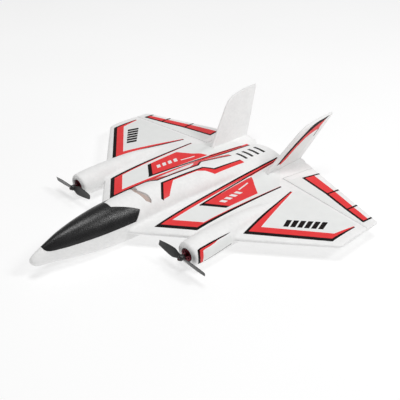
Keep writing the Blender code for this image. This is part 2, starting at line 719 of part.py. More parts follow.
def make_motor(tag, side):
    origin = (side * NACELLE_X, 0, NACELLE_Z)
    plate = turned("motor_mount_" + tag,
                   [(1.6, 50.8), (MOUNT_RADIUS, 50.8), (MOUNT_RADIUS, 48.6), (1.6, 48.6)],
                   origin, BLACK_PLASTIC, 28, closed=True)
    stator = turned("motor_stator_" + tag,
                    [(1.15, 63.4), (4.5, 63.4), (4.5, 56.4), (3.2, 56.0), (3.2, 53.2), (5.2, 53.0),
                     (5.2, 51.1), (1.15, 51.1)], origin, COPPER, 28, closed=True)
    turned("motor_bell_" + tag,
           [(0, 76.0), (SHAFT_RADIUS, 76.0), (SHAFT_RADIUS, 66.6), (5.2, 66.6), (5.9, 65.9), (5.9, 54.2),
            (5.1, 54.2), (5.1, 64.6), (SHAFT_RADIUS, 64.6), (SHAFT_RADIUS, 49.4), (0, 49.4)],
           origin, WINE_METAL, 28)
    for number, up in enumerate((SCREW_SPREAD, -SCREW_SPREAD), 1):
        centre = (side * NACELLE_X, 0, NACELLE_Z + up)
        hole = cylinder((centre[0], -46, centre[2]), (centre[0], -53.6, centre[2]), 0.95, 12)
        drill = mesh_object("screw_hole_%s_%d" % (tag, number), hole, group=CUTTERS)
        boolean(plate, drill)
        boolean(stator, drill)
        turned("motor_screw_%s_%d" % (tag, number),
               [(0, 53.0), (0.6, 53.0), (0.6, 48.3), (1.3, 48.3), (1.3, 47.3), (0, 47.3)],
               centre, STEEL, 12)


def blade_ring(radius, count=12):
    """Section of a blade that lies along +X, in the propeller's own frame."""
    share = radius / PROP_RADIUS
    chord = along([(0.0, 4.0), (0.12, 5.0), (0.36, 8.9), (0.6, 8.2), (0.85, 6.4), (0.98, 5.2), (1.0, 4.6)],
                  share)
    thick = along([(0.0, 1.9), (0.3, 1.3), (1.0, 0.6)], share)
    twist = along([(0.0, math.radians(34)), (0.4, math.radians(23)), (1.0, math.radians(13))], share)
    ring = []
    for k in range(count):
        angle = 2 * math.pi * k / count
        across = chord / 2 * math.cos(angle)
        deep = thick / 2 * math.sin(angle)
        ring.append(Vector((radius, across * math.sin(twist) - deep * math.cos(twist),
                            across * math.cos(twist) + deep * math.sin(twist))))
    return ring


def make_propeller(tag, side):
    centre = Vector((side * NACELLE_X, PROP_Y, NACELLE_Z))
    hub = cylinder((0, 2.4, 0), (0, -2.4, 0), 2.8, 24)
    bmesh.ops.translate(hub, verts=hub.verts, vec=centre)
    prop = mesh_object("propeller_" + tag, hub, BLACK_PLASTIC, centre)
    for number in (0, 1):
        blade = loft([blade_ring(radius) for radius in (1.9, 5, 8, 12, 17, 22, 26, 29.2, PROP_RADIUS)])
        mirror = Matrix.Scale(-side, 4, (1, 0, 0))
        turn = Matrix.Rotation(math.pi * number + side * PROP_TILT, 4, 'Y')
        bmesh.ops.transform(blade, matrix=Matrix.Translation(centre) @ turn @ mirror, verts=blade.verts)
        boolean(prop, mesh_object("blade_%s_%d" % (tag, number), blade, group=CUTTERS), 'UNION')
    bore = cylinder(centre + Vector((0, 4, 0)), centre + Vector((0, -4, 0)), SHAFT_RADIUS + 0.25, 16)
    boolean(prop, mesh_object("prop_bore_" + tag, bore, group=CUTTERS))
    nut = turned("prop_collar_" + tag, [(SHAFT_RADIUS + 0.25, 75.9), (1.5, 75.9), (1.8, 74.7),
                                        (SHAFT_RADIUS + 0.25, 74.7)],
                 (side * NACELLE_X, 0, NACELLE_Z), STEEL, 20, closed=True)
    return nut


# ---------------------------------------------------------------- elevon linkage

def link_frame(side, ahead=0.0, level=HINGE_INNER.z):
    """Frame in the plane of the linkage: origin ahead of the hinge line at a level."""
    return hinge_frame(side) @ Matrix.Translation((HORN_STATION, -ahead, level - HINGE_INNER.z))


def make_linkage(tag, side):
    horn_frame = link_frame(side)
    shaft_frame = link_frame(side, SERVO_AHEAD, SERVO_Z)

    outline = [(-0.6, 4.8, -3.1), (-0.6, 4.8, -1.2), (-0.6, 9.8, -1.2), (-0.6, 9.8, -3.3), (-0.6, 1.5, -9.2),
               (-0.6, -0.2, -9.7), (-0.6, -1.6, -8.4), (-0.6, -1.5, -7.0), (-0.6, 1.8, -3.8)]
    blade = prism(outline, (1.2, 0, 0))
    bmesh.ops.transform(blade, matrix=horn_frame, verts=blade.verts)
    horn = mesh_object("control_horn_" + tag, blade, BLACK_PLASTIC, horn_frame.translation)
    foot = box((-2.6, 3.6, -3.85), (2.6, 11.0, -3.1), matrix=horn_frame)
    boolean(horn, mesh_object("horn_foot_" + tag, foot, group=CUTTERS), 'UNION')
    hole = cylinder(horn_frame @ Vector((-3, 0, -LINK_RADIUS)), horn_frame @ Vector((3, 0, -LINK_RADIUS)),
                    0.75, 14)
    boolean(horn, mesh_object("horn_hole_" + tag, hole, group=CUTTERS))

    case = box((-12.5, -11.6, -3.5), (-2.2, 5.1, 4.5), matrix=shaft_frame)
    servo = mesh_object("servo_" + tag, case, BLACK_PLASTIC, shaft_frame.translation)
    bevel(servo, 0.5, 1, 60)
    tower = cylinder(shaft_frame @ Vector((-3.2, 0, 0)), shaft_frame @ Vector((-1.1, 0, 0)), 2.6, 20)
    boolean(servo, mesh_object("servo_tower_" + tag, tower, group=CUTTERS), 'UNION')

    hub = cylinder(shaft_frame @ Vector((-0.8, 0, 0)), shaft_frame @ Vector((0.9, 0, 0)), 2.9, 20)
    arm = mesh_object("servo_arm_" + tag, hub, CONNECTOR, shaft_frame.translation)
    lever = prism([(-0.6, -1.7, 0), (-0.6, 1.7, 0), (-0.6, 1.35, -8.3), (-0.6, 0.75, -9.3),
                   (-0.6, -0.75, -9.3), (-0.6, -1.35, -8.3)], (1.2, 0, 0))
    bmesh.ops.transform(lever, matrix=shaft_frame, verts=lever.verts)
    boolean(arm, mesh_object("arm_lever_" + tag, lever, group=CUTTERS), 'UNION')
    for label, depth, radius in (("hole", -LINK_RADIUS, 0.75), ("screw_hole", 0.0, 0.75)):
        drill = cylinder(shaft_frame @ Vector((-3, 0, depth)), shaft_frame @ Vector((3, 0, depth)), radius, 14)
        boolean(arm, mesh_object("arm_%s_%s" % (label, tag), drill, group=CUTTERS))
    screw = cylinder(shaft_frame @ Vector((-0.9, 0, 0)), shaft_frame @ Vector((1.2, 0, 0)), 0.45, 12)
    pin = mesh_object("servo_screw_" + tag, screw, STEEL, shaft_frame.translation)
    head = cylinder(shaft_frame @ Vector((1.0, 0, 0)), shaft_frame @ Vector((1.8, 0, 0)), 1.2, 14)
    boolean(pin, mesh_object("servo_screw_head_" + tag, head, group=CUTTERS), 'UNION')

    horn_hole = horn_frame @ Vector((0, 0, -LINK_RADIUS))
    outward = horn_frame.to_3x3() @ Vector((1, 0, 0))
    arm_hole = shaft_frame @ Vector((0, 0, -LINK_RADIUS))
    wire("pushrod_" + tag, [horn_hole - outward * 1.5, horn_hole + outward * 1.9, arm_hole + outward * 1.9,
                            arm_hole - outward * 1.5], WIRE_RADIUS, STEEL, horn_hole)


# ---------------------------------------------------------------- inside the bay, spar and wiring

def make_battery():
    mesh_object("battery_pad", box((-8, -102, 5.8), (8, -64, 6.8)), LOOP)
    battery = mesh_object("battery_pack", box((-10, -108, 7.1), (10, -60, 20.1)), WRAP)
    bevel(battery, 1.6, 2)
    wire("battery_lead", [(4, -59.7, 15), (4, -56.5, 15), (4, -54.6, 11.2)], 1.0, WIRE)
    mesh_object("battery_connector", box((0.6, -54.8, 6.3), (7.4, -46.2, 10.0)), CONNECTOR)
    wire("receiver_lead", [(4, -45.9, 8.4), (4, -39.2, 8.4)], 1.0, WIRE)


def make_receiver():
    mesh_object("receiver_pad", box((-8, -36, 5.8), (8, -6, 6.6)), LOOP)
    board = mesh_object("receiver_board", box((-11, -38.5, 6.9), (11, -2.5, 8.0)), BOARD)
    chips = [((-9, -36, 7.6), (9, -28, 10.2)), ((-4, -25, 7.6), (4, -17, 9.3)),
             ((-9, -12, 7.6), (-3, -5, 9.6)), ((3, -12, 7.6), (9, -5, 9.6)),
             ((-10.6, -22.5, 7.6), (-6.4, -17.5, 10.3)), ((6.4, -22.5, 7.6), (10.6, -17.5, 10.3))]
    for number, (low, high) in enumerate(chips):
        boolean(board, mesh_object("board_part_%d" % number, box(low, high), group=CUTTERS), 'UNION')
    wire("receiver_antenna", [(0, -2.2, 7.6), (0, 2.5, 7.6), (0, 8.0, 10.0)], 0.4, WIRE)


def make_spar():
    half = SPAR_SIZE / 2
    mesh_object("carbon_spar", box((-SPAR_HALF_SPAN, SPAR_Y - half, PARTING_Z + GAP),
                                   (SPAR_HALF_SPAN, SPAR_Y + half, PARTING_Z + GAP + SPAR_SIZE)), CARBON)


def make_leads():
    for tag, side in SIDES.items():
        wire("motor_lead_" + tag,
             [(side * 8.5, MOTOR_LEAD_Y, 10.7), (side * 8.5, MOTOR_LEAD_Y, LEAD_Z),
              (side * NACELLE_X, MOTOR_LEAD_Y, LEAD_Z), (side * NACELLE_X, -46.9, LEAD_Z)], LEAD_RADIUS, WIRE)
        wire("servo_lead_" + tag,
             [(side * 7.0, -8.5, 10.1), (side * 7.0, -8.5, LEAD_Z), (side * 10.5, 2.3, LEAD_Z),
              (side * 58.0, 42.26, LEAD_Z)], LEAD_RADIUS, WIRE)


make_upper_moulding()
make_belly()
make_nacelle_covers()
make_hatch()
make_magnets()
make_fins()
make_elevons()
for tag_name, side_sign in SIDES.items():
    make_motor(tag_name, side_sign)
    make_propeller(tag_name, side_sign)
    make_linkage(tag_name, side_sign)
make_battery()
make_receiver()
make_spar()
make_leads()
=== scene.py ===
"""Looks for the radio-controlled flying wing: foam mouldings, trim decals, canopy, motors and wiring."""

import math

import bmesh
import bpy
import numpy as np
from mathutils import Matrix, Vector
from mathutils.bvhtree import BVHTree
from mathutils.geometry import tessellate_polygon


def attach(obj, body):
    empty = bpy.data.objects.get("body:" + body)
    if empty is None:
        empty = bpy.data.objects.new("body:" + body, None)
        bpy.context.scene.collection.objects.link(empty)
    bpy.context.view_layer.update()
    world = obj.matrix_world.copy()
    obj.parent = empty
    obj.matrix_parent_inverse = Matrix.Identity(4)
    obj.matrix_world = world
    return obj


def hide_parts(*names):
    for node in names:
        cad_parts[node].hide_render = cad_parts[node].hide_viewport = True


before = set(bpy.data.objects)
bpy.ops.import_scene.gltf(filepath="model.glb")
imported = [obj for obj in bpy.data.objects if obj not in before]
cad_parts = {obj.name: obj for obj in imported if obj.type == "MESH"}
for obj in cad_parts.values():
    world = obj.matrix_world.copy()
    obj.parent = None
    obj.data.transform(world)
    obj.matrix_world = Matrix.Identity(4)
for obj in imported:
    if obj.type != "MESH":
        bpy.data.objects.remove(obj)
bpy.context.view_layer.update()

MM = 0.001
GAP = 0.3
SIDES = {"port": 1, "starboard": -1}

# Shape of the airframe in millimetres, the same as the CAD's
HALF_SPAN = 171.0
LE_TIP_Y = 41.8
LE_SWEEP = 0.83
LE_INNER_X = 20.0
TE_BREAK_X = 56.0
TE_BREAK_Y = 141.0
TE_SLOPE = 0.36
WING_Z = 15.5
PARTING_Z = 12.5
WING_LOW = 3.15
NOSE_LENGTH = 3.0
TIP_ROUND = 2.6
HINGE_INNER = Vector((57.3, 94.0, 15.3))
HINGE_SLOPE = 0.1048
HINGE_STRETCH = math.sqrt(1 + HINGE_SLOPE ** 2)     # length along the hinge for each length of span
HINGE_BEVEL = math.radians(29.0)
HINGE_GAP = 0.35
ELEVON_END_GAP = 0.5
CANOPY_Z = 22.0
HATCH_FRONT_Y = -151.7
HATCH_FRONT_REACH = 8.7
HATCH_FRONT_RISE = 4.3
HATCH_REAR_Y = -72.0
HATCH_REAR_SLOPE = 0.915
HATCH_HOLLOW = (-147.5, -92.0)
NOTCH_Y = -88.7
NOTCH_HALF = 4.4
NOTCH_CORNER = 1.4
NOTCH_SLOPE = 2.12
HATCH_WALL = 3.2
VENT_DEPTH = 2.0
NACELLE_X = 83.3
NACELLE_Z = 14.5
BORE_RADIUS = 6.7
MOUNT_RADIUS = 9.3
SHAFT_RADIUS = 0.75
PROP_RADIUS = 29.8
PROP_Y = -72.0
PROP_TILT = math.radians(3.0)
FIN_CANT = math.radians(17.0)
FIN_ROOT_X = 40.2
FIN_ROOT_Z = 17.5
FIN_THICKNESS = 4.6
HORN_STATION = 17.8
SERVO_AHEAD = 34.0
SERVO_Z = 12.5
SPAR_Y = 72.0
SPAR_HALF_SPAN = 118.0
SPAR_SIZE = 3.0
LEAD_RADIUS = 0.7
LEAD_Z = 13.4
MOTOR_LEAD_Y = -20.0
MAGNET_X = 16.3
MAGNET_Y = -80.5
MAGNET_RADIUS = 2.0
MAGNET_HIGH = 1.6
DECAL_LIFT = 0.1
DECAL_LAYER = 0.04            # how much higher each further layer of film lies
DECAL_SINK = 0.1
NACELLE_DECAL_RADIUS = 13.0
WHITE_LINE = 1.1              # bare foam between a red band and the grey film beside it
SEAM = 0.05                   # what shows of a glued joint


# ---------------------------------------------------------------- node materials

def shader_tree(name):
    mat = bpy.data.materials.new(name)
    mat.use_nodes = True
    tree = mat.node_tree
    return mat, tree, tree.nodes["Principled BSDF"]


def node(tree, kind, **settings):
    made = tree.nodes.new(kind)
    for key, value in settings.items():
        setattr(made, key, value)
    return made


def set_inputs(target, values):
    for key, value in values.items():
        target.inputs[key].default_value = value


def object_coords(tree):
    return node(tree, "ShaderNodeTexCoord").outputs["Object"]


def noise(tree, scale, detail=4.0, rough=0.55):
    made = node(tree, "ShaderNodeTexNoise")
    set_inputs(made, {"Scale": scale, "Detail": detail, "Roughness": rough})
    tree.links.new(object_coords(tree), made.inputs["Vector"])
    return made


def cells(tree, scale, feature="F1"):
    made = node(tree, "ShaderNodeTexVoronoi", feature=feature)
    set_inputs(made, {"Scale": scale})
    tree.links.new(object_coords(tree), made.inputs["Vector"])
    return made


def ramp(tree, source, stops):
    made = node(tree, "ShaderNodeValToRGB")
    elements = made.color_ramp.elements
    while len(elements) < len(stops):
        elements.new(0.5)
    for element, (place, value) in zip(elements, stops):
        element.position = place
        shade = value if isinstance(value, tuple) else (value, value, value)
        element.color = (*shade, 1.0)
    tree.links.new(source, made.inputs["Fac"])
    return made.outputs["Color"]


def bump(tree, shader, height, distance, strength=1.0, under=None):
    made = node(tree, "ShaderNodeBump")
    set_inputs(made, {"Strength": strength, "Distance": distance})
    tree.links.new(height, made.inputs["Height"])
    if under:
        tree.links.new(under, made.inputs["Normal"])
    tree.links.new(made.outputs["Normal"], shader.inputs["Normal"])
    return made.outputs["Normal"]


def paint(tree, shader, source, stops):
    """Base colour that varies with a pattern."""
    tree.links.new(ramp(tree, source, stops), shader.inputs["Base Color"])


def uneven(tree, shader, pattern, low, high):
    """Roughness that varies with a pattern."""
    shade = ramp(tree, pattern.outputs["Fac"], [(0.3, low), (0.7, high)])
    tree.links.new(shade, shader.inputs["Roughness"])


def foam_material(name, colour):
    """Expanded foam: flattened bead cells, each a slightly different shade, with soft seams."""
    mat, tree, shader = shader_tree(name)
    edges = cells(tree, BEADS, "DISTANCE_TO_EDGE").outputs["Distance"]
    seams = ramp(tree, edges, [(0.0, 0.0), (0.12, 1.0)])
    soft = bump(tree, shader, noise(tree, 260, 3).outputs["Fac"], 0.0001, 0.5)
    bump(tree, shader, seams, 0.00009, 0.5, soft)
    darker = tuple(c * 0.95 for c in colour)
    mottled = ramp(tree, noise(tree, 45, 5).outputs["Fac"], [(0.3, darker), (0.62, colour)])
    beads = ramp(tree, cells(tree, BEADS).outputs["Color"], [(0.2, 0.965), (0.8, 1.0)])
    mix = node(tree, "ShaderNodeMix", data_type='RGBA', blend_type='MULTIPLY')
    set_inputs(mix, {"Factor": 1.0})
    tree.links.new(mottled, mix.inputs[6])
    tree.links.new(beads, mix.inputs[7])
    tree.links.new(mix.outputs[2], shader.inputs["Base Color"])
    uneven(tree, shader, noise(tree, 120, 4), FOAM_ROUGHNESS - 0.07, FOAM_ROUGHNESS + 0.1)
    set_inputs(shader, {"Specular IOR Level": 0.35})
    return mat


def print_material(name, colour, roughness=0.42, vary=0.06, gloss=0.4):
    """Printed film: even ink with the foam's beads showing faintly through it."""
    mat, tree, shader = shader_tree(name)
    lighter = tuple(min(1.0, c * (1 + vary) + 0.004) for c in colour)
    paint(tree, shader, noise(tree, 90, 5).outputs["Fac"], [(0.35, colour), (0.7, lighter)])
    uneven(tree, shader, noise(tree, 300, 3), roughness - 0.06, roughness + 0.08)
    bump(tree, shader, cells(tree, 620).outputs["Distance"], 0.00003, 0.3)
    set_inputs(shader, {"Specular IOR Level": gloss})
    return mat


def grain_material(name, colour, roughness, grain, depth, strength, coat=0.0, gloss=0.5):
    """Painted or moulded surface with a fine all-over grain."""
    mat, tree, shader = shader_tree(name)
    fine = noise(tree, grain, 3, 0.7)
    broad = noise(tree, grain / 12, 4)
    lighter = tuple(min(1.0, c * 1.5 + 0.006) for c in colour)
    paint(tree, shader, broad.outputs["Fac"], [(0.3, colour), (0.75, lighter)])
    uneven(tree, shader, fine, roughness - 0.1, roughness + 0.12)
    bump(tree, shader, fine.outputs["Fac"], depth, strength)
    set_inputs(shader, {"Specular IOR Level": gloss, "Coat Weight": coat, "Coat Roughness": 0.25})
    return mat


def metal_material(name, colour, roughness):
    """Turned metal: fine specks of wear and slight tarnish."""
    mat, tree, shader = shader_tree(name)
    wear = noise(tree, 900, 6, 0.65)
    darker = tuple(c * 0.7 for c in colour)
    paint(tree, shader, wear.outputs["Fac"], [(0.3, darker), (0.6, colour)])
    uneven(tree, shader, wear, roughness + 0.12, roughness)
    bump(tree, shader, noise(tree, 2600, 2).outputs["Fac"], 0.00002, 0.3)
    set_inputs(shader, {"Metallic": 1.0})
    return mat


def weave_material(name, dark, light):
    """Carbon strip: threads under clear resin."""
    mat, tree, shader = shader_tree(name)
    wave = node(tree, "ShaderNodeTexWave", bands_direction='X')
    set_inputs(wave, {"Scale": 700, "Distortion": 0.6})
    tree.links.new(object_coords(tree), wave.inputs["Vector"])
    paint(tree, shader, wave.outputs["Fac"], [(0.3, dark), (0.8, light)])
    bump(tree, shader, wave.outputs["Fac"], 0.00004, 0.5)
    set_inputs(shader, {"Roughness": 0.35, "Coat Weight": 0.5})
    return mat


def loop_material(name, colour):
    """Hook-and-loop pad: a thick nap of tiny loops."""
    mat, tree, shader = shader_tree(name)
    nap = cells(tree, 2600)
    lighter = tuple(c * 2.2 + 0.01 for c in colour)
    paint(tree, shader, nap.outputs["Distance"], [(0.1, lighter), (0.7, colour)])
    bump(tree, shader, nap.outputs["Distance"], 0.0002, 0.9)
    set_inputs(shader, {"Roughness": 0.95, "Sheen Weight": 0.4})
    return mat


def board_material(name):
    """Circuit board: green resist over faint traces."""
    mat, tree, shader = shader_tree(name)
    bricks = node(tree, "ShaderNodeTexBrick")
    set_inputs(bricks, {"Scale": 260, "Mortar Size": 0.03, "Color1": (0.015, 0.11, 0.05, 1),
                        "Color2": (0.02, 0.14, 0.06, 1), "Mortar": (0.05, 0.25, 0.11, 1)})
    tree.links.new(object_coords(tree), bricks.inputs["Vector"])
    tree.links.new(bricks.outputs["Color"], shader.inputs["Base Color"])
    bump(tree, shader, bricks.outputs["Fac"], 0.00003, 0.4)
    set_inputs(shader, {"Roughness": 0.3})
    return mat


BEADS = 430                   # foam cells to the metre
FOAM_ROUGHNESS = 0.5
WHITE_FOAM = foam_material("white_foam", (0.925, 0.923, 0.918))
GREY_FILM = print_material("pale_grey_film", (0.83, 0.84, 0.83), 0.45, 0.03)
RED_FILM = print_material("red_film", (0.80, 0.030, 0.034), 0.42)
BLACK_FILM = print_material("black_film", (0.006, 0.0035, 0.0035), 0.5, 0.4, 0.1)
PALE_FILM = print_material("pale_film", (0.85, 0.84, 0.83), 0.45, 0.02)
# Brownish grey for the recess behind the hatch: painted shade, standing in for the shade on the recess's rear
# wall
VENT_PAINTED_SHADE = foam_material("vent_painted_shade", (0.52, 0.41, 0.37))
CANOPY = grain_material("grained_black_canopy", (0.003, 0.003, 0.0033), 0.3, 800, 0.00024, 0.6, 0.0, 0.42)
BLACK_PLASTIC = grain_material("moulded_black_plastic", (0.014, 0.014, 0.014), 0.34, 1800, 0.00004, 0.35)
WINE = metal_material("wine_anodised_metal", (0.12, 0.012, 0.02), 0.26)
STEEL = metal_material("bright_steel", (0.62, 0.62, 0.63), 0.24)
COPPER = metal_material("copper_winding", (0.72, 0.33, 0.16), 0.3)
CARBON = weave_material("carbon_strip", (0.008, 0.008, 0.009), (0.05, 0.05, 0.055))
BOARD = board_material("circuit_board")
WRAP = grain_material("battery_wrap", (0.05, 0.06, 0.10), 0.3, 700, 0.0001, 0.4, 0.3)
LOOP = loop_material("hook_and_loop", (0.012, 0.012, 0.013))
RED_WIRE = grain_material("red_insulation", (0.5, 0.02, 0.02), 0.42, 1500, 0.00003, 0.4)
BLACK_WIRE = grain_material("black_insulation", (0.015, 0.015, 0.015), 0.42, 1500, 0.00003, 0.4)
IVORY = grain_material("ivory_nylon", (0.72, 0.70, 0.62), 0.4, 1500, 0.00003, 0.4)


# ---------------------------------------------------------------- mesh helpers (millimetres)

def round_angles(count, offset=0.0):
    """Equal steps round a full circle."""
    return [2 * math.pi * (k + offset) / count for k in range(count)]


def polar(radius, angle, y=0.0):
    """A point at a radius and an angle about the fore-and-aft line."""
    return Vector((radius * math.cos(angle), y, radius * math.sin(angle)))


def nacelle_axis(side, y=0.0):
    return Vector((side * NACELLE_X, y, NACELLE_Z))


def box(low, high, matrix=None):
    bm = bmesh.new()
    low = Vector(low)
    high = Vector(high)
    made = bmesh.ops.create_cube(bm, size=1.0)["verts"]
    bmesh.ops.scale(bm, verts=made, vec=high - low)
    bmesh.ops.translate(bm, verts=made, vec=(low + high) / 2)
    if matrix:
        bmesh.ops.transform(bm, matrix=matrix, verts=made)
    return bm


def rounded_box(low, high, radius, matrix=None, segments=3):
    bm = box(low, high)
    bmesh.ops.bevel(bm, geom=list(bm.edges), offset=radius, segments=segments, profile=0.5, affect='EDGES')
    if matrix:
        bmesh.ops.transform(bm, matrix=matrix, verts=bm.verts)
    return bm


def cylinder(start, end, radius, sides=40):
    bm = bmesh.new()
    start = Vector(start)
    axis = Vector(end) - start
    turn = axis.to_track_quat('Z', 'Y').to_matrix().to_4x4()
    made = bmesh.ops.create_cone(bm, cap_ends=True, segments=sides, radius1=radius, radius2=radius,
                                 depth=axis.length)["verts"]
    bmesh.ops.transform(bm, matrix=Matrix.Translation(start + axis / 2) @ turn, verts=made)
    return bm


def prism(outline, direction):
    """Closed outline pushed along a direction."""
    bm = bmesh.new()
    face = bm.faces.new([bm.verts.new(point) for point in outline])
    made = bmesh.ops.extrude_face_region(bm, geom=[face])["geom"]
    moved = [item for item in made if isinstance(item, bmesh.types.BMVert)]
    bmesh.ops.translate(bm, verts=moved, vec=direction)
    return bm


def loft(rings):
    """Closed shell through rings of equally many points."""
    bm = bmesh.new()
    rows = [[bm.verts.new(point) for point in ring] for ring in rings]
    count = len(rows[0])
    for near, far in zip(rows, rows[1:]):
        for i in range(count):
            j = (i + 1) % count
            bm.faces.new((near[i], near[j], far[j], far[i]))
    bm.faces.new(rows[0])
    bm.faces.new(rows[-1])
    return bm


def revolve(profile, origin, sides=64):
    """Turn a closed (radius, forward) outline about the fore-and-aft line through origin."""
    origin = Vector(origin)
    bm = bmesh.new()
    rings = []
    for radius, forward in profile:
        if radius < 1e-6:
            rings.append([bm.verts.new(origin + Vector((0, -forward, 0)))] * sides)
            continue
        rings.append([bm.verts.new(origin + polar(radius, angle, -forward)) for angle in round_angles(sides)])
    closed = profile[0][0] > 1e-6
    pairs = list(zip(rings, rings[1:])) + ([(rings[-1], rings[0])] if closed else [])
    for near, far in pairs:
        for k in range(sides):
            j = (k + 1) % sides
            corners = []
            for vert in (near[k], near[j], far[j], far[k]):
                if vert not in corners:
                    corners.append(vert)
            if len(corners) > 2:
                bm.faces.new(corners)
    return bm


def joined(parts):
    """One bmesh holding several closed shells."""
    whole = bmesh.new()
    for part in parts:
        mesh = bpy.data.meshes.new("part")
        bmesh.ops.recalc_face_normals(part, faces=part.faces)
        part.to_mesh(mesh)
        part.free()
        whole.from_mesh(mesh)
        bpy.data.meshes.remove(mesh)
    return whole


def temporary(bm, name="temporary"):
    mesh = bpy.data.meshes.new(name)
    bmesh.ops.recalc_face_normals(bm, faces=bm.faces)
    bm.to_mesh(mesh)
    bm.free()
    obj = bpy.data.objects.new(name, mesh)
    bpy.context.scene.collection.objects.link(obj)
    return obj


def evaluated(obj):
    """The object's mesh with its modifiers applied, as a bmesh. The object itself is deleted."""
    graph = bpy.context.evaluated_depsgraph_get()
    mesh = bpy.data.meshes.new_from_object(obj.evaluated_get(graph), depsgraph=graph)
    bm = bmesh.new()
    bm.from_mesh(mesh)
    bpy.data.meshes.remove(mesh)
    old = obj.data
    bpy.data.objects.remove(obj, do_unlink=True)
    if old.users == 0:
        bpy.data.meshes.remove(old)
    return bm


def combine(bm, other, operation='DIFFERENCE'):
    """Boolean of two closed bmeshes."""
    body = temporary(bm)
    tool = temporary(other, "tool")
    step = body.modifiers.new("boolean", 'BOOLEAN')
    step.object = tool
    step.operation = operation
    step.solver = 'MANIFOLD'
    made = evaluated(body)
    mesh = tool.data
    bpy.data.objects.remove(tool, do_unlink=True)
    bpy.data.meshes.remove(mesh)
    return made


def piece(name, bm, mat, body, replaces=(), sharp=35):
    """Turn millimetre geometry into a finished piece that rides on a body."""
    bmesh.ops.remove_doubles(bm, verts=bm.verts, dist=0.0005)
    bmesh.ops.dissolve_degenerate(bm, dist=0.0002, edges=bm.edges)
    bmesh.ops.recalc_face_normals(bm, faces=bm.faces)
    bmesh.ops.scale(bm, verts=bm.verts, vec=(MM, MM, MM))
    mesh = bpy.data.meshes.new(name)
    bm.to_mesh(mesh)
    bm.free()
    mesh.materials.append(mat)
    mesh.shade_smooth()
    mesh.set_sharp_from_angle(angle=math.radians(sharp))
    obj = bpy.data.objects.new(name, mesh)
    bpy.context.scene.collection.objects.link(obj)
    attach(obj, body)
    if replaces:
        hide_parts(*replaces)
    return obj


def tube(points, radius):
    """Round tube along a polyline with rounded corners, as a closed shell."""
    sides, corner = 10, 1.2
    points = [Vector(point) for point in points]
    path = [points[0]]
    for before, here, after in zip(points, points[1:], points[2:]):
        start = here + (before - here).normalized() * corner
        stop = here + (after - here).normalized() * corner
        for k in range(7):
            t = k / 6
            path.append(start * (1 - t) ** 2 + here * 2 * t * (1 - t) + stop * t ** 2)
    path.append(points[-1])
    side = (path[1] - path[0]).orthogonal().normalized()
    rings = []
    for k, point in enumerate(path):
        ahead = path[min(k + 1, len(path) - 1)] - path[max(k - 1, 0)]
        ahead.normalize()
        side = (side - ahead * side.dot(ahead)).normalized()
        up = ahead.cross(side)
        rings.append([point + (side * math.cos(angle) + up * math.sin(angle)) * radius
                      for angle in round_angles(sides)])
    return loft(rings)


def along(table, position):
    """Smooth interpolation in a table of (position, value) pairs."""
    if position <= table[0][0]:
        return table[0][1]
    if position >= table[-1][0]:
        return table[-1][1]
    i = max(k for k in range(len(table) - 1) if table[k][0] <= position)
    (x0, y0), (x1, y1) = table[i], table[i + 1]

    def slope(k):
        if k == 0 or k == len(table) - 1:
            other = 1 if k == 0 else k - 1
            return (table[other][1] - table[k][1]) / (table[other][0] - table[k][0])
        back = (table[k][1] - table[k - 1][1]) / (table[k][0] - table[k - 1][0])
        fore = (table[k + 1][1] - table[k][1]) / (table[k + 1][0] - table[k][0])
        return 0.0 if back * fore <= 0 else 2 * back * fore / (back + fore)

    width = x1 - x0
    t = (position - x0) / width
    return (y0 * (1 + 2 * t) * (1 - t) ** 2 + slope(i) * width * t * (1 - t) ** 2
            + y1 * t * t * (3 - 2 * t) + slope(i + 1) * width * t * t * (t - 1))


def signed_power(value, exponent):
    return math.copysign(abs(value) ** exponent, value)


def spaced(low, high, step):
    count = max(1, round((high - low) / step))
    return [low + (high - low) * k / count for k in range(count + 1)]


# ---------------------------------------------------------------- airframe surfaces

UPPER_RISE = [(0, 5.0), (60, 4.9), (100, 4.2), (140, 3.2), (171, 2.4)]
LOWER_DEPTH = [(0, WING_LOW), (100, WING_LOW), (171, 2.6)]
TRAILING_EDGE = [(0, 136.0), (16, 136.0), (29, 146.0), (45, 145.5), (56, 141.0)]
HALF_WIDTH = [(-173.5, 1.2), (-172, 2.9), (-168.5, 4.4), (-161, 5.3), (-154.5, 6.3), (-147.5, 8.4),
              (-139.5, 10.8), (-120, 15.0), (-107.5, 17.1), (-89.5, 19.0), (-71.5, 20.4), (-47.5, 21.6),
              (-7.5, 23.0), (31.5, 24.0), (62.5, 24.0), (92.5, 23.0), (120.5, 21.0), (136.3, 18.0)]
CREST = [(-173.5, 17.6), (-172, 19.8), (-168.5, 22.4), (-160, 26.4), (-151.5, 29.8), (-139.5, 33.2),
         (-120.5, 36.8), (-107.5, 38.3), (-88.5, 39.6), (-71.5, 39.6), (-47.5, 39.2), (-7.5, 37.4),
         (31.5, 34.2), (62.5, 29.0), (92.5, 23.9), (120.5, 21.6), (133, 20.2), (136.3, 18.6)]
KEEL = [(-173.5, 14.9), (-172, 12.6), (-168.5, 10.2), (-160, 8.2), (-139.5, 5.4), (-120.5, 3.3),
        (-107.5, 1.8), (-87.5, 0.5), (-71.5, -0.25), (62.5, -0.25), (92.5, 4.2), (125, 12.6), (136.3, 13.4)]
WAIST = [(-173.5, 16.2), (-168.5, 16.6), (-161, 18.0), (-151, 19.4), (-140, 20.0), (31.5, 20.0),
         (62.5, 18.2), (92.5, 16.5), (136.3, 15.5)]
LOWER_SQUARENESS = [(-173.5, 2.1), (-150, 2.6), (-120, 3.6), (-90, 4.0), (62.5, 4.0), (120, 3.0),
                    (136.3, 2.4)]
UPPER_SQUARENESS = 1.85
FIN_FRONT = [(-2.6, 84.0), (1.6, 84.0), (42.6, 120.0), (47.2, 125.6), (50.2, 132.5), (52.9, 150.0),
             (53.8, 173.0)]
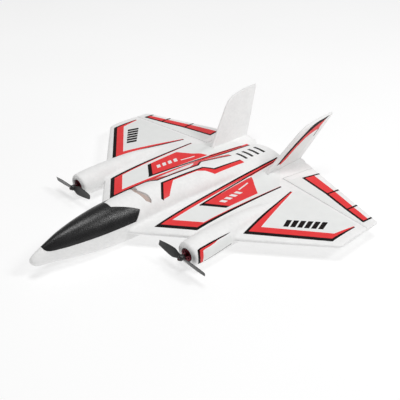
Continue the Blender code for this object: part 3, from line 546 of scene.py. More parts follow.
NACELLE_LIP = [(0, 66), (9.6, 66), (10.4, 65.85), (11.1, 65.45), (11.6, 64.8), (12.0, 63.9)]
NACELLE_RADIUS = [(-63, 0.0), (-60, 2.2), (-50, 5.0), (-34, 8.2), (-18, 10.6), (0, 12.2), (20, 12.9),
                  (38, 13.0), (52, 12.9), (63.9, 12.0)]
BORE_PROFILE = [(0, 72), (BORE_RADIUS, 72), (BORE_RADIUS, 51.3), (MOUNT_RADIUS + 0.4, 51.3),
                (MOUNT_RADIUS + 0.4, 48.2), (7, 48.2), (7, 12), (0, 12)]


def leading_edge(x):
    return LE_TIP_Y - LE_SWEEP * (HALF_SPAN - max(abs(x), LE_INNER_X))


def trailing_edge(x):
    x = abs(x)
    if x >= TE_BREAK_X:
        return TE_BREAK_Y - TE_SLOPE * (x - TE_BREAK_X)
    for (x0, y0), (x1, y1) in zip(TRAILING_EDGE, TRAILING_EDGE[1:]):
        if x <= x1:
            return y0 + (y1 - y0) * (x - x0) / (x1 - x0)
    return TE_BREAK_Y


def chord_fraction(x, y):
    """How far aft a point lies: 0 at the leading edge, 1 at the trailing edge."""
    front = leading_edge(x)
    return (y - front) / (trailing_edge(x) - front)


def aerofoil(t):
    """Height of a four-digit section above its chord line, 1 at its thickest."""
    t = min(max(t, 0.0), 1.0)
    return 10 * (0.2969 * math.sqrt(t) - 0.126 * t - 0.3516 * t ** 2 + 0.2843 * t ** 3 - 0.1036 * t ** 4)


def underside(t, chord):
    """Share of the wing's full lower depth at a fraction of the chord."""
    nose = NOSE_LENGTH / chord
    thin_from = 0.78
    if t < nose:
        return math.sqrt(1 - (1 - t / nose) ** 2)
    if t < thin_from:
        return 1.0
    return 1.0 - 0.5 * (t - thin_from) / (1 - thin_from)


def wing_top(x, y):
    return WING_Z + along(UPPER_RISE, abs(x)) * aerofoil(chord_fraction(x, y))


def wing_bottom(x, y):
    chord = trailing_edge(x) - leading_edge(x)
    return WING_Z - along(LOWER_DEPTH, abs(x)) * underside(chord_fraction(x, y), chord)


def tip_rounding(x):
    """Setback of the leading edge, of the trailing edge, and thickness left, near the wing tip."""
    inside = HALF_SPAN - abs(x)
    if inside >= TIP_ROUND:
        return 0.0, 0.0, 1.0
    lost = 1 - math.sqrt(max(0.0, 1 - (1 - inside / TIP_ROUND) ** 2))
    return 3.0 * lost, 2.0 * lost, 1 - 0.65 * lost


def wing_ring(x):
    back, forward, thick = tip_rounding(x)
    front = leading_edge(x) + back
    chord = trailing_edge(x) - forward - front
    rise = along(UPPER_RISE, abs(x)) * thick
    depth = along(LOWER_DEPTH, abs(x)) * thick
    crowded = [(1 - math.cos(math.pi * k / 34)) / 2 for k in range(1, 17)]
    steps = [0.0008, 0.0025] + crowded + [0.5 + 0.5 * k / 14 for k in range(15)]
    ring = [(x, front + chord * t, WING_Z + rise * aerofoil(t)) for t in reversed(steps)]
    ring.append((x, front, WING_Z))
    ring += [(x, front + chord * t, WING_Z - depth * underside(t, chord)) for t in steps]
    return ring


def wing_form():
    half = ([0, 8, 16, 22.5, 29, 37, 45, 50.5, 56] + spaced(61, 165, 8)
            + [168.4, 168.9, 169.5, 170.1, 170.6, 170.9, HALF_SPAN])
    return loft([wing_ring(x) for x in [-x for x in reversed(half[1:])] + half])


def fuselage_ring(y, inset):
    width = along(HALF_WIDTH, y) - inset
    waist = along(WAIST, y)
    top = along(CREST, y) - inset
    bottom = along(KEEL, y) + inset
    square = along(LOWER_SQUARENESS, y)
    ring = []
    for angle in round_angles(112):
        power = 2 / (UPPER_SQUARENESS if math.sin(angle) >= 0 else square)
        reach = top - waist if math.sin(angle) >= 0 else waist - bottom
        ring.append((width * signed_power(math.cos(angle), power), y,
                     waist + reach * signed_power(math.sin(angle), power)))
    return ring


def fuselage_form(inset=0.0, front=-173.5, rear=136.3):
    fine_nose = [-173.5, -173.35, -173.0, -172.6, -172.0, -171.2, -170.2, -169.0, -167.5, -165.5, -163.5]
    stations = fine_nose + spaced(-161, 130, 3.0) + [132, 133.5, 134.6, 135.4, 136.0, 136.3]
    inner = [y for y in stations if front < y < rear]
    return loft([fuselage_ring(y, inset) for y in [front] + inner + [rear]])


def nacelle_form(side):
    tail = [(along(NACELLE_RADIUS, y), y) for y in reversed(spaced(-62.5, 62.5, 2.5))]
    return revolve(NACELLE_LIP + tail + [(0, -63.2)], nacelle_axis(side), 72)


def boom_form(side):
    stations = [(45, 3.5, 18.4), (60, 6.0, 19.9), (82, 8.0, 21.0), (110, 8.6, 20.2), (135, 8.4, 18.9),
                (143, 7.8, 18.3), (145.9, 6.6, 17.2)]
    widths = [(y, half) for y, half, top in stations]
    tops = [(y, top) for y, half, top in stations]
    rings = []
    for y in spaced(45, 141, 3.0) + [142.5, 143.8, 144.8, 145.5, 145.9]:
        half = along(widths, y)
        top = along(tops, y)
        ring = []
        for angle in round_angles(48):
            up = top - WING_Z if math.sin(angle) > 0 else WING_Z - 11.0
            ring.append((side * (FIN_ROOT_X + 0.3) + half * signed_power(math.cos(angle), 0.8), y,
                         WING_Z + up * signed_power(math.sin(angle), 0.8)))
        rings.append(ring)
    return loft(rings)


def nearness(points, forms, reach):
    """How near each point of a union's skin is to a second form: 1 on the seam, 0 beyond the reach."""
    gaps = np.full((len(points), 2), 1e9)
    for bm in forms:
        corners = np.array([v.co for v in bm.verts])
        close = np.all((points > corners.min(0) - reach) & (points < corners.max(0) + reach), axis=1)
        tree = BVHTree.FromBMesh(bm)
        for k in np.flatnonzero(close):
            distance = tree.find_nearest(points[k])[3]
            if distance < gaps[k, 0]:
                gaps[k] = distance, gaps[k, 0]
            elif distance < gaps[k, 1]:
                gaps[k, 1] = distance
    return np.clip(1 - gaps[:, 1] / reach, 0, 1)


def blended_union(forms, voxel, reach, rounds):
    """Merge closed forms, and ease the skin near each seam between two of them into a soft fillet."""
    copies = [bm.copy() for bm in forms]
    exact = forms[0]
    for other in forms[1:]:
        exact = combine(exact, other, 'UNION')
    tree = BVHTree.FromBMesh(exact)
    whole = temporary(exact)
    step = whole.modifiers.new("even_skin", 'REMESH')
    step.mode = 'VOXEL'
    step.voxel_size = voxel
    bm = evaluated(whole)
    for vert in bm.verts:
        vert.co = tree.find_nearest(vert.co)[0]
    points = np.array([v.co for v in bm.verts])
    ends = np.array([(edge.verts[0].index, edge.verts[1].index) for edge in bm.edges])
    count = np.bincount(ends.ravel(), minlength=len(points))[:, None]
    pull = 0.6 * np.sqrt(nearness(points, copies, reach))[:, None]
    for _ in range(rounds):
        total = np.zeros_like(points)
        np.add.at(total, ends[:, 0], points[ends[:, 1]])
        np.add.at(total, ends[:, 1], points[ends[:, 0]])
        points += pull * (total / count - points)
    for vert, point in zip(bm.verts, points):
        vert.co = point
    for kept in copies:
        kept.free()
    return bm


# ---------------------------------------------------------------- cutters

def hatch_space(clearance):
    """The hatch's own space: its side profile, less the deck's blunt tongue."""
    reach = 28.0
    base = CANOPY_Z - clearance
    rear = HATCH_REAR_Y + clearance * 1.4
    front = HATCH_FRONT_Y - HATCH_FRONT_REACH - clearance
    outline = [(-40, rear, base), (-40, rear + HATCH_REAR_SLOPE * reach, base + reach),
               (-40, front, base + reach)]
    steps = 24
    for k in range(steps, -1, -1):
        angle = math.pi / 2 * k / steps
        y = HATCH_FRONT_Y - (HATCH_FRONT_REACH + clearance) * math.sin(angle)
        fall = (HATCH_FRONT_RISE + clearance) * math.cos(angle)
        outline.append((-40, y, CANOPY_Z + HATCH_FRONT_RISE - fall))
    tip = NOTCH_Y + clearance
    narrow = NOTCH_HALF - 0.6 * clearance
    wide = 40.0
    bend = narrow + NOTCH_CORNER
    shoulder = tip + NOTCH_CORNER
    half = [(narrow, tip), (narrow + 0.42 * NOTCH_CORNER, tip + 0.1 * NOTCH_CORNER),
            (narrow + 0.75 * NOTCH_CORNER, tip + 0.35 * NOTCH_CORNER), (bend, shoulder),
            (wide, shoulder + NOTCH_SLOPE * (wide - bend)), (wide, 60)]
    notch = [(x, y, -10) for x, y in half] + [(-x, y, -10) for x, y in reversed(half)]
    return combine(prism(outline, (80, 0, 0)), prism(notch, (0, 0, 80)))


def vent_outline(shrink=0.0):
    """Plan outline of the arched recess behind the hatch."""
    front = [(0, -57.0), (6.7, -55.4), (13.8, -53.8)]
    rear = [(0, -52.6), (5.4, -50.0), (10.4, -47.7), (14.6, -47.9), (16.6, -49.6)]
    half_front = 13.8 - shrink
    half_rear = 16.6 - shrink
    outline = [(x, along(front, abs(x)) + shrink) for x in spaced(-half_front, half_front, 1.0)]
    outline += [(x, along(rear, abs(x)) - shrink) for x in reversed(spaced(-half_rear, half_rear, 0.8))]
    return outline


def vent_space():
    return combine(prism([(x, y, 24) for x, y in vent_outline()], (0, 0, 30)),
                   fuselage_form(VENT_DEPTH, -75.0, -30.0))


def bay_space():
    return combine(box((-12.5, -110, 5.5), (12.5, 12, CANOPY_Z + 0.6)),
                   box((-8, -130, 8), (8, -106, CANOPY_Z + 0.4)), 'UNION')


def magnet_pocket(side, low, high):
    return cylinder((side * MAGNET_X, MAGNET_Y, low), (side * MAGNET_X, MAGNET_Y, high),
                    MAGNET_RADIUS + GAP, 32)


def slab(level, below):
    """All the space below a level, or above it."""
    return box((-200, -200, -30), (200, 200, level)) if below else box((-200, -200, level), (200, 200, 120))


def groove(start, end, width, top):
    """A slot from below the moulding up to a level, along a line in plan."""
    start = Vector((*start, 0))
    run = Vector((*end, 0)) - start
    turn = Matrix.Translation(start) @ Matrix.Rotation(math.atan2(run.y, run.x), 4, 'Z')
    return box((0, -width / 2, 6.0), (run.length, width / 2, top), turn)


def hinge_frame(side):
    """Axes of an elevon hinge: along it outwards, aft, and up."""
    along_hinge = Vector((side, -HINGE_SLOPE, 0)).normalized()
    aft = Vector((side * HINGE_SLOPE, 1, 0)).normalized()
    made = Matrix.Identity(4)
    for axis, vector in enumerate((along_hinge, aft, Vector((0, 0, 1)))):
        for row in range(3):
            made[row][axis] = vector[row]
    made.translation = Vector((side * HINGE_INNER.x, HINGE_INNER.y, HINGE_INNER.z))
    return made


def hinge_point(side, station, aft=0.0, up=0.0):
    return hinge_frame(side) @ Vector((station, aft, up))


def servo_frame(side):
    """Axes at a servo's shaft, parallel to the hinge's."""
    return hinge_frame(side) @ Matrix.Translation((HORN_STATION, -SERVO_AHEAD, SERVO_Z - HINGE_INNER.z))


def elevon_zone(side):
    outline = [(-ELEVON_END_GAP, -HINGE_GAP, -8), (130, -HINGE_GAP, -8), (130, 70, -8),
               (-ELEVON_END_GAP, 70, -8)]
    return prism([hinge_frame(side) @ Vector(point) for point in outline], (0, 0, 20))


def fin_matrix(side):
    return Matrix.Translation((side * FIN_ROOT_X, 0, FIN_ROOT_Z)) @ Matrix.Rotation(side * FIN_CANT, 4, 'Y')


def fin_section(height):
    """Leading and trailing edge of a fin at a height up its slope."""
    for (h0, y0), (h1, y1) in zip(FIN_FRONT, FIN_FRONT[1:]):
        if height <= h1:
            front = y0 + (y1 - y0) * (height - h0) / (h1 - h0)
            break
    return front, min(173.2, 142.6 + 30.5 * max(0.0, height + 0.4) / 52.8)


def fin_thickness(height):
    """A fin's greatest thickness at a height."""
    return FIN_THICKNESS - max(0.0, height) / 52


def fin_ends(chord):
    """How far a fin's round nose and its thin tail reach in from its edges."""
    return min(3.4, chord * 0.25), min(1.4, chord * 0.1)


def fin_taper(share):
    """What is left of a fin's thickness at a share of the way from its nose to its tail."""
    return 1 - 0.42 * share ** 2.2


def fin_ring(height, grow):
    """Section of a fin with a round nose and a thin tail."""
    front, rear = fin_section(height)
    front -= grow
    rear = max(rear + grow, front + 0.5)
    crown = max(0.0, (height - 52.4) / 1.45)
    thick = fin_thickness(height) * math.sqrt(max(0.03, 1 - crown ** 2)) + 2 * grow
    chord = rear - front
    nose, tail = fin_ends(chord)
    half_ring = []
    for k in range(13):
        angle = math.pi / 2 * k / 12
        half_ring.append((front + nose * (1 - math.cos(angle)), thick / 2 * math.sin(angle)))
    for k in range(1, 12):
        share = k / 12
        y = front + nose + (chord - nose - tail) * share
        half_ring.append((y, thick / 2 * fin_taper(share)))
    for k in range(7):
        angle = math.pi / 2 * k / 6
        half_ring.append((rear - tail * (1 - math.sin(angle)), thick / 2 * 0.58 * math.cos(angle)))
    return [(t, y, height) for y, t in half_ring] + [(-t, y, height) for y, t in reversed(half_ring[1:-1])]


def fin_form(side, heights, grow=0.0):
    """A fin, or the part of it between some heights, grown all round for a slot."""
    bm = loft([fin_ring(height, grow) for height in heights])
    bmesh.ops.transform(bm, matrix=fin_matrix(side), verts=bm.verts)
    return bm


def bore(side):
    return revolve(BORE_PROFILE, nacelle_axis(side), 64)


# ---------------------------------------------------------------- foam pieces

def build_upper_moulding():
    forms = [wing_form(), fuselage_form()]
    for side in SIDES.values():
        forms += [nacelle_form(side), boom_form(side)]
    voxel, rounds = ((1.0, 20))
    bm = blended_union(forms, voxel, 4.0, rounds)
    bm = combine(bm, slab(PARTING_Z, True))
    first = [hatch_space(GAP),
             groove((-SPAR_HALF_SPAN - GAP, SPAR_Y), (SPAR_HALF_SPAN + GAP, SPAR_Y), SPAR_SIZE + 2 * GAP,
                    PARTING_Z + SPAR_SIZE + 2 * GAP)]
    second = [bay_space(), vent_space()]
    third = []
    for side in SIDES.values():
        first += [elevon_zone(side), bore(side), fin_form(side, (-2.75, 0.0, 4.0, 9.0), SEAM),
                  box((-12.9, -12.0, -8), (-1.5, 5.5, 4.9), servo_frame(side))]
        second += [box((-1.9, -4.0, -8), (2.6, 4.0, 3.3), servo_frame(side)),
                   magnet_pocket(side, CANOPY_Z - MAGNET_HIGH - 2 * GAP, CANOPY_Z + 2)]
        lead_top = LEAD_Z + LEAD_RADIUS + GAP
        third += [groove((side * 8, MOTOR_LEAD_Y), (side * 79, MOTOR_LEAD_Y), 2.4, lead_top),
                  groove((side * 9, 1.0), (side * 66, 49.0), 2.4, lead_top)]
    for group in (first, second, third):
        bm = combine(bm, joined(group))
    return piece("airframe_moulding", bm, WHITE_FOAM, "airframe", ["wing_and_deck_moulding"], 32)


def build_lower_mouldings():
    below_ground = box((-60, -200, -30), (60, 200, 0.0))
    tub = combine(fuselage_form(), joined([slab(PARTING_Z - SEAM, False), below_ground]))
    tub = combine(tub, bay_space())
    piece("belly_moulding", tub, WHITE_FOAM, "airframe", ["belly_tub"])
    for tag, side in SIDES.items():
        cover = combine(nacelle_form(side), slab(PARTING_Z - SEAM, False))
        cover = combine(cover, bore(side))
        piece("nacelle_lower_half_" + tag, cover, WHITE_FOAM, "airframe", ["nacelle_cover_" + tag])


def build_canopy():
    hatch = combine(fuselage_form(), hatch_space(0.0), 'INTERSECT')
    hatch = combine(hatch, fuselage_form(HATCH_WALL, *HATCH_HOLLOW))
    pockets = [magnet_pocket(side, CANOPY_Z - 1, CANOPY_Z + MAGNET_HIGH + GAP) for side in SIDES.values()]
    hatch = combine(hatch, joined(pockets))
    piece("canopy_shell", hatch, CANOPY, "canopy", ["canopy_hatch"], 28)


def build_fins():
    rounded_tip = [42.6, 44.6, 46.4, 48, 49.3, 50.2, 50.9, 51.6, 52.2, 52.7, 53.1, 53.4, 53.6, 53.72]
    heights = [-2.6, 0.0, 1.6] + spaced(5, 40, 5) + rounded_tip
    for tag, side in SIDES.items():
        piece("fin_moulding_" + tag, fin_form(side, heights), WHITE_FOAM, "airframe",
              ["fin_" + tag], 50)


def elevon_ring(side, station, length):
    """Section of an elevon: bevelled front edge, the wing's own skins, and a blunt rear edge."""
    left = max(0.0, 1 - (length - station) / TIP_ROUND)
    lost = 1 - math.sqrt(1 - left ** 2)
    thick = 1 - 0.62 * lost
    root = hinge_point(side, station)
    skew = HINGE_SLOPE * station / length
    fall = 1 + skew * HINGE_SLOPE + TE_SLOPE * (HINGE_SLOPE - skew)
    reach = (trailing_edge(root.x) - root.y) * HINGE_STRETCH / fall - 2.0 * lost
    front = hinge_point(side, station, 2.0)
    rise = (wing_top(front.x, front.y) - HINGE_INNER.z) * thick
    drop = (HINGE_INNER.z - wing_bottom(front.x, front.y)) * thick
    slant = math.tan(HINGE_BEVEL)
    upper = [(rise * slant + 0.05, rise - 0.12), (rise * slant + 0.3, rise)]
    lower = [(drop * slant + 0.05, 0.12 - drop), (drop * slant + 0.3, -drop)]
    for k in range(1, 13):
        aft = reach * (0.1 + 0.885 * k / 12)
        spot = hinge_point(side, station - skew * aft, aft)
        upper.append((aft, (wing_top(spot.x, spot.y) - HINGE_INNER.z) * thick))
        lower.append((aft, (wing_bottom(spot.x, spot.y) - HINGE_INNER.z) * thick))
    high, low = upper[-1][1], lower[-1][1]
    edge = [(reach - 0.15, high * 0.75 + low * 0.25), (reach, (high + low) / 2),
            (reach - 0.15, high * 0.25 + low * 0.75)]
    section = [(0.05, 0.0)] + upper + edge + list(reversed(lower))
    return [hinge_point(side, station - skew * aft, aft, up) for aft, up in section]


def build_elevons():
    length = (HALF_SPAN - HINGE_INNER.x) * HINGE_STRETCH
    stations = spaced(0.0, length - TIP_ROUND, 8.0)
    stations += [length - left for left in (1.9, 1.3, 0.8, 0.45, 0.2, 0.06)]
    for tag, side in SIDES.items():
        bm = loft([elevon_ring(side, station, length) for station in stations])
        slot = box((HORN_STATION - 0.9, 4.5, -6), (HORN_STATION + 0.9, 10.1, -0.9), hinge_frame(side))
        bm = combine(bm, slot)
        piece("elevon_moulding_" + tag, bm, WHITE_FOAM, "elevon_" + tag, ["elevon_" + tag], 30)


# ---------------------------------------------------------------- trim decals

def line_cross(p, d, q, e):
    """Crossing of the line through p along d with the line through q along e."""
    bottom = d.x * e.y - d.y * e.x
    if abs(bottom) < 1e-6:
        return (p + q) / 2
    t = ((q.x - p.x) * e.y - (q.y - p.y) * e.x) / bottom
    return p + d * t


def inset_path(points, widths, sign):
    """Shift each stretch of an open path sideways by (start, end) widths, and join the stretches."""
    points = [Vector(point) for point in points]
    lines = []
    for (a, b), (w0, w1) in zip(zip(points, points[1:]), widths):
        run = (b - a).normalized()
        normal = Vector((-run.y, run.x)) * sign
        lines.append((a + normal * w0, b + normal * w1))
    made = [lines[0][0]]
    for (a, b), (c, d) in zip(lines, lines[1:]):
        made.append(line_cross(a, b - a, c, d - c))
    made.append(lines[-1][1])
    return made


def widened(widths):
    """The same widths, further by the bare line beside a red band."""
    return [(start + WHITE_LINE, end + WHITE_LINE) for start, end in widths]


def strip(points, outer, inner, sign=1):
    """Band between two insets of one path."""
    return inset_path(points, outer, sign) + list(reversed(inset_path(points, inner, sign)))


def bar(start, end, width, end_width=None):
    """Straight stroke, which may taper."""
    start = Vector(start)
    end = Vector(end)
    run = (end - start).normalized()
    normal = Vector((-run.y, run.x))
    if end_width is None:
        end_width = width
    return [start + normal * width / 2, end + normal * end_width / 2, end - normal * end_width / 2,
            start - normal * width / 2]


def flat_sheet(outline, pitch):
    """Plan outline as a flat mesh cut into a fine grid, so that it can follow a curved surface."""
    bm = bmesh.new()
    corners = [bm.verts.new((p[0], p[1], 0)) for p in outline]
    for triangle in tessellate_polygon([[v.co for v in corners]]):
        bm.faces.new([corners[k] for k in triangle])
    xs = [v.co.x for v in bm.verts]
    ys = [v.co.y for v in bm.verts]
    for axis, values in (((1, 0, 0), xs), ((0, 1, 0), ys)):
        low, high = min(values), max(values)
        position = low + pitch
        while position < high - 0.2:
            point = tuple(a * position for a in axis)
            bmesh.ops.bisect_plane(bm, geom=bm.verts[:] + bm.edges[:] + bm.faces[:], plane_co=point,
                                   plane_no=axis, dist=0.0001)
            position += pitch
    return bm


def thin_shell(bm, normal_at, layer):
    """Give a draped sheet a body: its skin is lifted off the foam and its back is sunk into it."""
    lift = DECAL_LIFT + DECAL_LAYER * layer
    bmesh.ops.recalc_face_normals(bm, faces=bm.faces)
    made = bmesh.ops.extrude_face_region(bm, geom=bm.faces[:])["geom"]
    top = {item for item in made if isinstance(item, bmesh.types.BMVert)}
    for vert in bm.verts:
        vert.co = vert.co + normal_at(vert.co) * (lift if vert in top else -DECAL_SINK)
    bmesh.ops.recalc_face_normals(bm, faces=bm.faces)
    return bm


class Surface:
    """A finished piece's skin, in millimetres, for decals to lie on."""

    def __init__(self, obj):
        whole = bmesh.new()
        whole.from_mesh(obj.data)
        bmesh.ops.scale(whole, verts=whole.verts, vec=(1000, 1000, 1000))
        self.tree = BVHTree.FromBMesh(whole)
        whole.free()

    def drop(self, x, y):
        """The point straight below on the skin, or else the nearest one."""
        spot = self.tree.ray_cast(Vector((x, y, 80.0)), Vector((0, 0, -1)))[0]
        return self.tree.find_nearest(Vector((x, y, WING_Z)))[0] if spot is None else spot

    def normal(self, point):
        normal = self.tree.find_nearest(point)[1]
        return normal if normal.z > -0.2 else -normal


def film_piece(name, bm, mat, body="airframe"):
    piece(name, bm, mat, body, (), 60)


def drape(name, outlines, surface, mat, body, layer, pitch):
    """Lay plan outlines on a surface as one decal piece."""
    shells = []
    for outline in outlines:
        bm = flat_sheet(outline, pitch)
        for vert in bm.verts:
            vert.co = surface.drop(vert.co.x, vert.co.y)
        shells.append(thin_shell(bm, surface.normal, layer))
    film_piece(name, joined(shells), mat, body)


def mirrored(outline, side):
    points = [(side * p[0], p[1]) for p in outline]
    return points if side > 0 else list(reversed(points))


# Trim in plan, port side: paths as (x, y), widths as (start, end) for each stretch of a path
NO_WIDTH = [(0, 0)] * 3
V_PATH = [(80, 79.5), (98.6, -9.6), (162.0, 40.8), (162.5, 74.5)]
V_BLACK = [(1.2, 2.7), (3.8, 3.8), (3.0, 1.0)]
V_RED = [(2.2, 10.3), (11.6, 11.6), (8.0, 1.8)]
INNER_PATH = [(20.2, 127.5), (34.2, -61.5), (65.8, -36.5), (68.4, 79.5)]
INNER_BLACK = [(2.1, 2.3), (4.0, 4.0), (3.0, 1.7)]
INNER_RED = [(5.0, 5.6), (12.0, 12.0), (4.4, 1.9)]
BLOCK = [(39, -7.1), (59.3, 8.0), (61.3, 51.0), (32.9, 72.3)]
BLOCK_FRONT = [(39, -7.1), (59.3, 8.0), (59.5, 12.8), (38.4, -2.2)]
ROOT_LINE = [(39, -7.5), (25, 119.5)]
ROOT_LINE_RED = [(30.9, 72.5), (25.9, 118.5)]
ELEVON_GREY = [(64.5, 95.3), (164.5, 84.9), (163.0, 86.8)]
ELEVON_CORNER = (66.0, 112.2)
ELEVON_LINE = [(2.7, 2.7)] * 3
ELEVON_RED_REAR = [(72.0, 126.4), (108.1, 115.6), (138.9, 104.8), (161.9, 97.0)]
ELEVON_FRONT = [(69.2, 111.3), (106.7, 103.4), (138.1, 93.8), (161.7, 87.8)]
BAY_LINES = [((70.2, 112.0), (74.6, 134.0)), ((107.0, 104.0), (109.0, 121.5)),
             ((138.3, 95.0), (139.3, 110.6)), ((161.5, 88.5), (161.9, 102.4))]
SPINE_LINE = [(2.7, -25.5), (2.6, 30.3), (9.5, 40.2), (6.4, 82.5)]
SPINE_WIDTHS = [(1.9, 1.9), (1.9, 1.9), (1.9, 1.2)]
SPINE_BAND_EDGE = [(5.6, -13.0), (5.4, 20.0), (8.8, 28.1), (16.1, 35.2), (12.2, 83.2)]
SPINE_BAR = ((3.4, -24.8), (17.8, -36.9), 2.4)
SPINE_QUAD = [(4.6, -25.5), (18.0, -36.4), (17.7, -27.9), (6.4, -13.4), (4.6, -11.0)]
LOUVRES = (92.0, 101.5, 111.0, 120.5)
WING_MARK = ((117.0, 24.7), (145.1, 48.6), (112.6, 35.6), (140.9, 61.6))
BLOCK_MARK = ((46.6, 11.0), (44.2, 38.0), (51.8, 14.0), (50.2, 41.0))
BLOCK_TAIL = ((43.6, 42.0), (40.2, 59.0))


def slanted_bars(corners, count, fill):
    """A row of slanted bars between a base line and a top line, given by their end points."""
    base_start, base_end, top_start, top_end = [Vector(corner) for corner in corners]
    bars = []
    for k in range(count):
        start = k / (count - 1 + fill)
        end = start + fill / (count - 1 + fill)
        bars.append([base_start.lerp(base_end, start), base_start.lerp(base_end, end),
                     top_start.lerp(top_end, end), top_start.lerp(top_end, start)])
    return bars


def decal_layer(surface, body, tag, side):
    """A function that lays port outlines on one side of the model."""
    def lay(name, outlines, mat, layer, pitch=2.0):
        own_side = [mirrored(outline, side) for outline in outlines]
        drape(name + "_" + tag, own_side, surface, mat, body, layer, pitch)
    return lay


def build_top_decals(airframe):
    surface = Surface(airframe)
    for tag, side in SIDES.items():
        lay = decal_layer(surface, "airframe", tag, side)
        wing_panel = inset_path(V_PATH, widened(V_RED), 1) + [(160.5, 79.8), (84.0, 87.8)]
        lay("wing_panel", [wing_panel], GREY_FILM, 0, 3.0)
        lay("wing_chevron_black", [strip(V_PATH, NO_WIDTH, V_BLACK)], BLACK_FILM, 1)
        lay("wing_chevron_red", [strip(V_PATH, V_BLACK, V_RED)], RED_FILM, 1)
        lay("root_panel", [inset_path(INNER_PATH, widened(INNER_RED), 1)], GREY_FILM, 0, 3.0)
        lay("root_border_black", [strip(INNER_PATH, NO_WIDTH, INNER_BLACK)], BLACK_FILM, 1)
        lay("root_border_red", [strip(INNER_PATH, INNER_BLACK, INNER_RED)], RED_FILM, 1)
        lay("root_line_black", [bar(*ROOT_LINE, 2.0, 1.4)], BLACK_FILM, 3)
        lay("root_block_red", [BLOCK], RED_FILM, 2)
        lay("root_block_black", [BLOCK_FRONT], BLACK_FILM, 3)
        lay("root_line_red", [bar(*ROOT_LINE_RED, 2.0, 1.2)], RED_FILM, 2)
        lay("wing_mark_bars", slanted_bars(WING_MARK, 6, 0.72), BLACK_FILM, 1)
        lay("root_mark_bars", slanted_bars(BLOCK_MARK, 4, 0.6) + [bar(*BLOCK_TAIL, 1.6)], PALE_FILM, 3)
        lay("spine_line_black", [strip(SPINE_LINE, NO_WIDTH, SPINE_WIDTHS, -1)], BLACK_FILM, 3, 1.0)
        band = inset_path(SPINE_LINE, SPINE_WIDTHS, -1) + list(reversed(SPINE_BAND_EDGE))
        lay("spine_band_red", [SPINE_QUAD, band], RED_FILM, 2, 1.0)
        lay("spine_bar_black", [bar(*SPINE_BAR)], BLACK_FILM, 3, 1.0)
    # Painted shade: a brownish-grey film laid in the arched recess behind the hatch, where its rear wall lies
    # in shade
    drape("vent_painted_shade_liner", [vent_outline(0.35)], surface, VENT_PAINTED_SHADE, "airframe", 0, 1.0)
    louvres = [bar((-7.8, y), (7.8, y), 3.1) for y in LOUVRES]
    drape("deck_louvres", louvres, surface, BLACK_FILM, "airframe", 2, 1.0)


def build_elevon_decals(elevons):
    for tag, side in SIDES.items():
        lay = decal_layer(Surface(elevons[tag]), "elevon_" + tag, tag, side)
        grey = ELEVON_GREY + list(reversed(ELEVON_FRONT)) + [ELEVON_CORNER]
        lay("elevon_panel", [grey], GREY_FILM, 0, 3.0)
        red = inset_path(ELEVON_FRONT, ELEVON_LINE, 1) + list(reversed(ELEVON_RED_REAR))
        lay("elevon_red", [red], RED_FILM, 1)
        lay("elevon_line_black", [strip(ELEVON_FRONT, NO_WIDTH, ELEVON_LINE)], BLACK_FILM, 2)
        lay("elevon_bays_black", [bar(a, b, 1.9) for a, b in BAY_LINES], BLACK_FILM, 3, 1.0)


def nacelle_film(side, outline, layer):
    """Decal shell on a nacelle's outer side, from an outline of (y, degrees above level) points."""
    scale = NACELLE_DECAL_RADIUS * math.pi / 180
    bm = flat_sheet([(y, angle * scale) for y, angle in outline], 1.5)
    for vert in bm.verts:
        angle = vert.co.y / scale * math.pi / 180
        y = vert.co.x
        radius = along(NACELLE_RADIUS, -y)
        vert.co = Vector((side * (NACELLE_X + radius * math.cos(angle)), y,
                          NACELLE_Z + radius * math.sin(angle)))
    axis = nacelle_axis(side)

    def radial(point):
        return Vector((point.x - axis.x, 0, point.z - axis.z)).normalized()

    return thin_shell(bm, radial, layer)


NACELLE_OUTER = [(-21.5, 39.4), (-27.6, 41.4), (-34, 42.4), (-46, 43.6), (-58.5, 43), (-61.5, 40),
                 (-62.6, 21), (-63.0, -3), (-61.9, -30)]
NACELLE_MIDDLE = [(-21.5, 38.9), (-28, 37.5), (-53, 36.8), (-57.8, 36.8), (-59.3, 35), (-60.6, 17),
                  (-60.7, -8), (-59.0, -33)]
NACELLE_INNER = [(-37.5, 36.9), (-41, 33), (-48, 29.8), (-54, 29.4), (-56.4, 27.5), (-57.1, 9), (-57.3, -16),
                 (-56.2, -32)]
NACELLE_PANEL = [(-22, 24), (-30, 31), (-38, 31), (-46.6, 25.8), (-53.5, 25.3), (-55.2, 22), (-55.6, 8),
                 (-55.6, -14), (-54.8, -26), (-22, -10)]


def build_nacelle_decals():
    for tag, side in SIDES.items():
        black = nacelle_film(side, NACELLE_OUTER + list(reversed(NACELLE_MIDDLE)), 2)
        # Painted shade: the thin black strip along the grey panel's lower edge stands in for the shade where
        # the nacelle's side turns under; it shares a piece with the black trim
        line = nacelle_film(side, [(-54.8, -27), (-22, -10.6), (-22, -12.6), (-54.8, -29)], 2)
        red = nacelle_film(side, NACELLE_MIDDLE[1:] + list(reversed(NACELLE_INNER)), 1)
        grey = nacelle_film(side, NACELLE_PANEL, 0)
        film_piece("nacelle_black_trim_and_painted_shade_" + tag, joined([black, line]), BLACK_FILM)
        film_piece("nacelle_trim_red_" + tag, red, RED_FILM)
        film_piece("nacelle_panel_" + tag, grey, GREY_FILM)


def fin_half_thickness(y, height):
    front, rear = fin_section(height)
    thick = fin_thickness(height)
    chord = rear - front
    nose, tail = fin_ends(chord)
    share = min(1.0, max(0.0, (y - front - nose) / max(0.1, chord - nose - tail)))
    return thick / 2 * fin_taper(share)


def fin_decal(name, outlines, mat, side, layer):
    shells = []
    for outline in outlines:
        bm = flat_sheet(outline, 2.0)
        for vert in bm.verts:
            y, height = vert.co.x, vert.co.y
            vert.co = Vector((side * fin_half_thickness(y, height), y, height))
        shell = thin_shell(bm, lambda point: Vector((side, 0, 0)), layer)
        bmesh.ops.transform(shell, matrix=fin_matrix(side), verts=shell.verts)
        shells.append(shell)
    film_piece(name, joined(shells), mat)


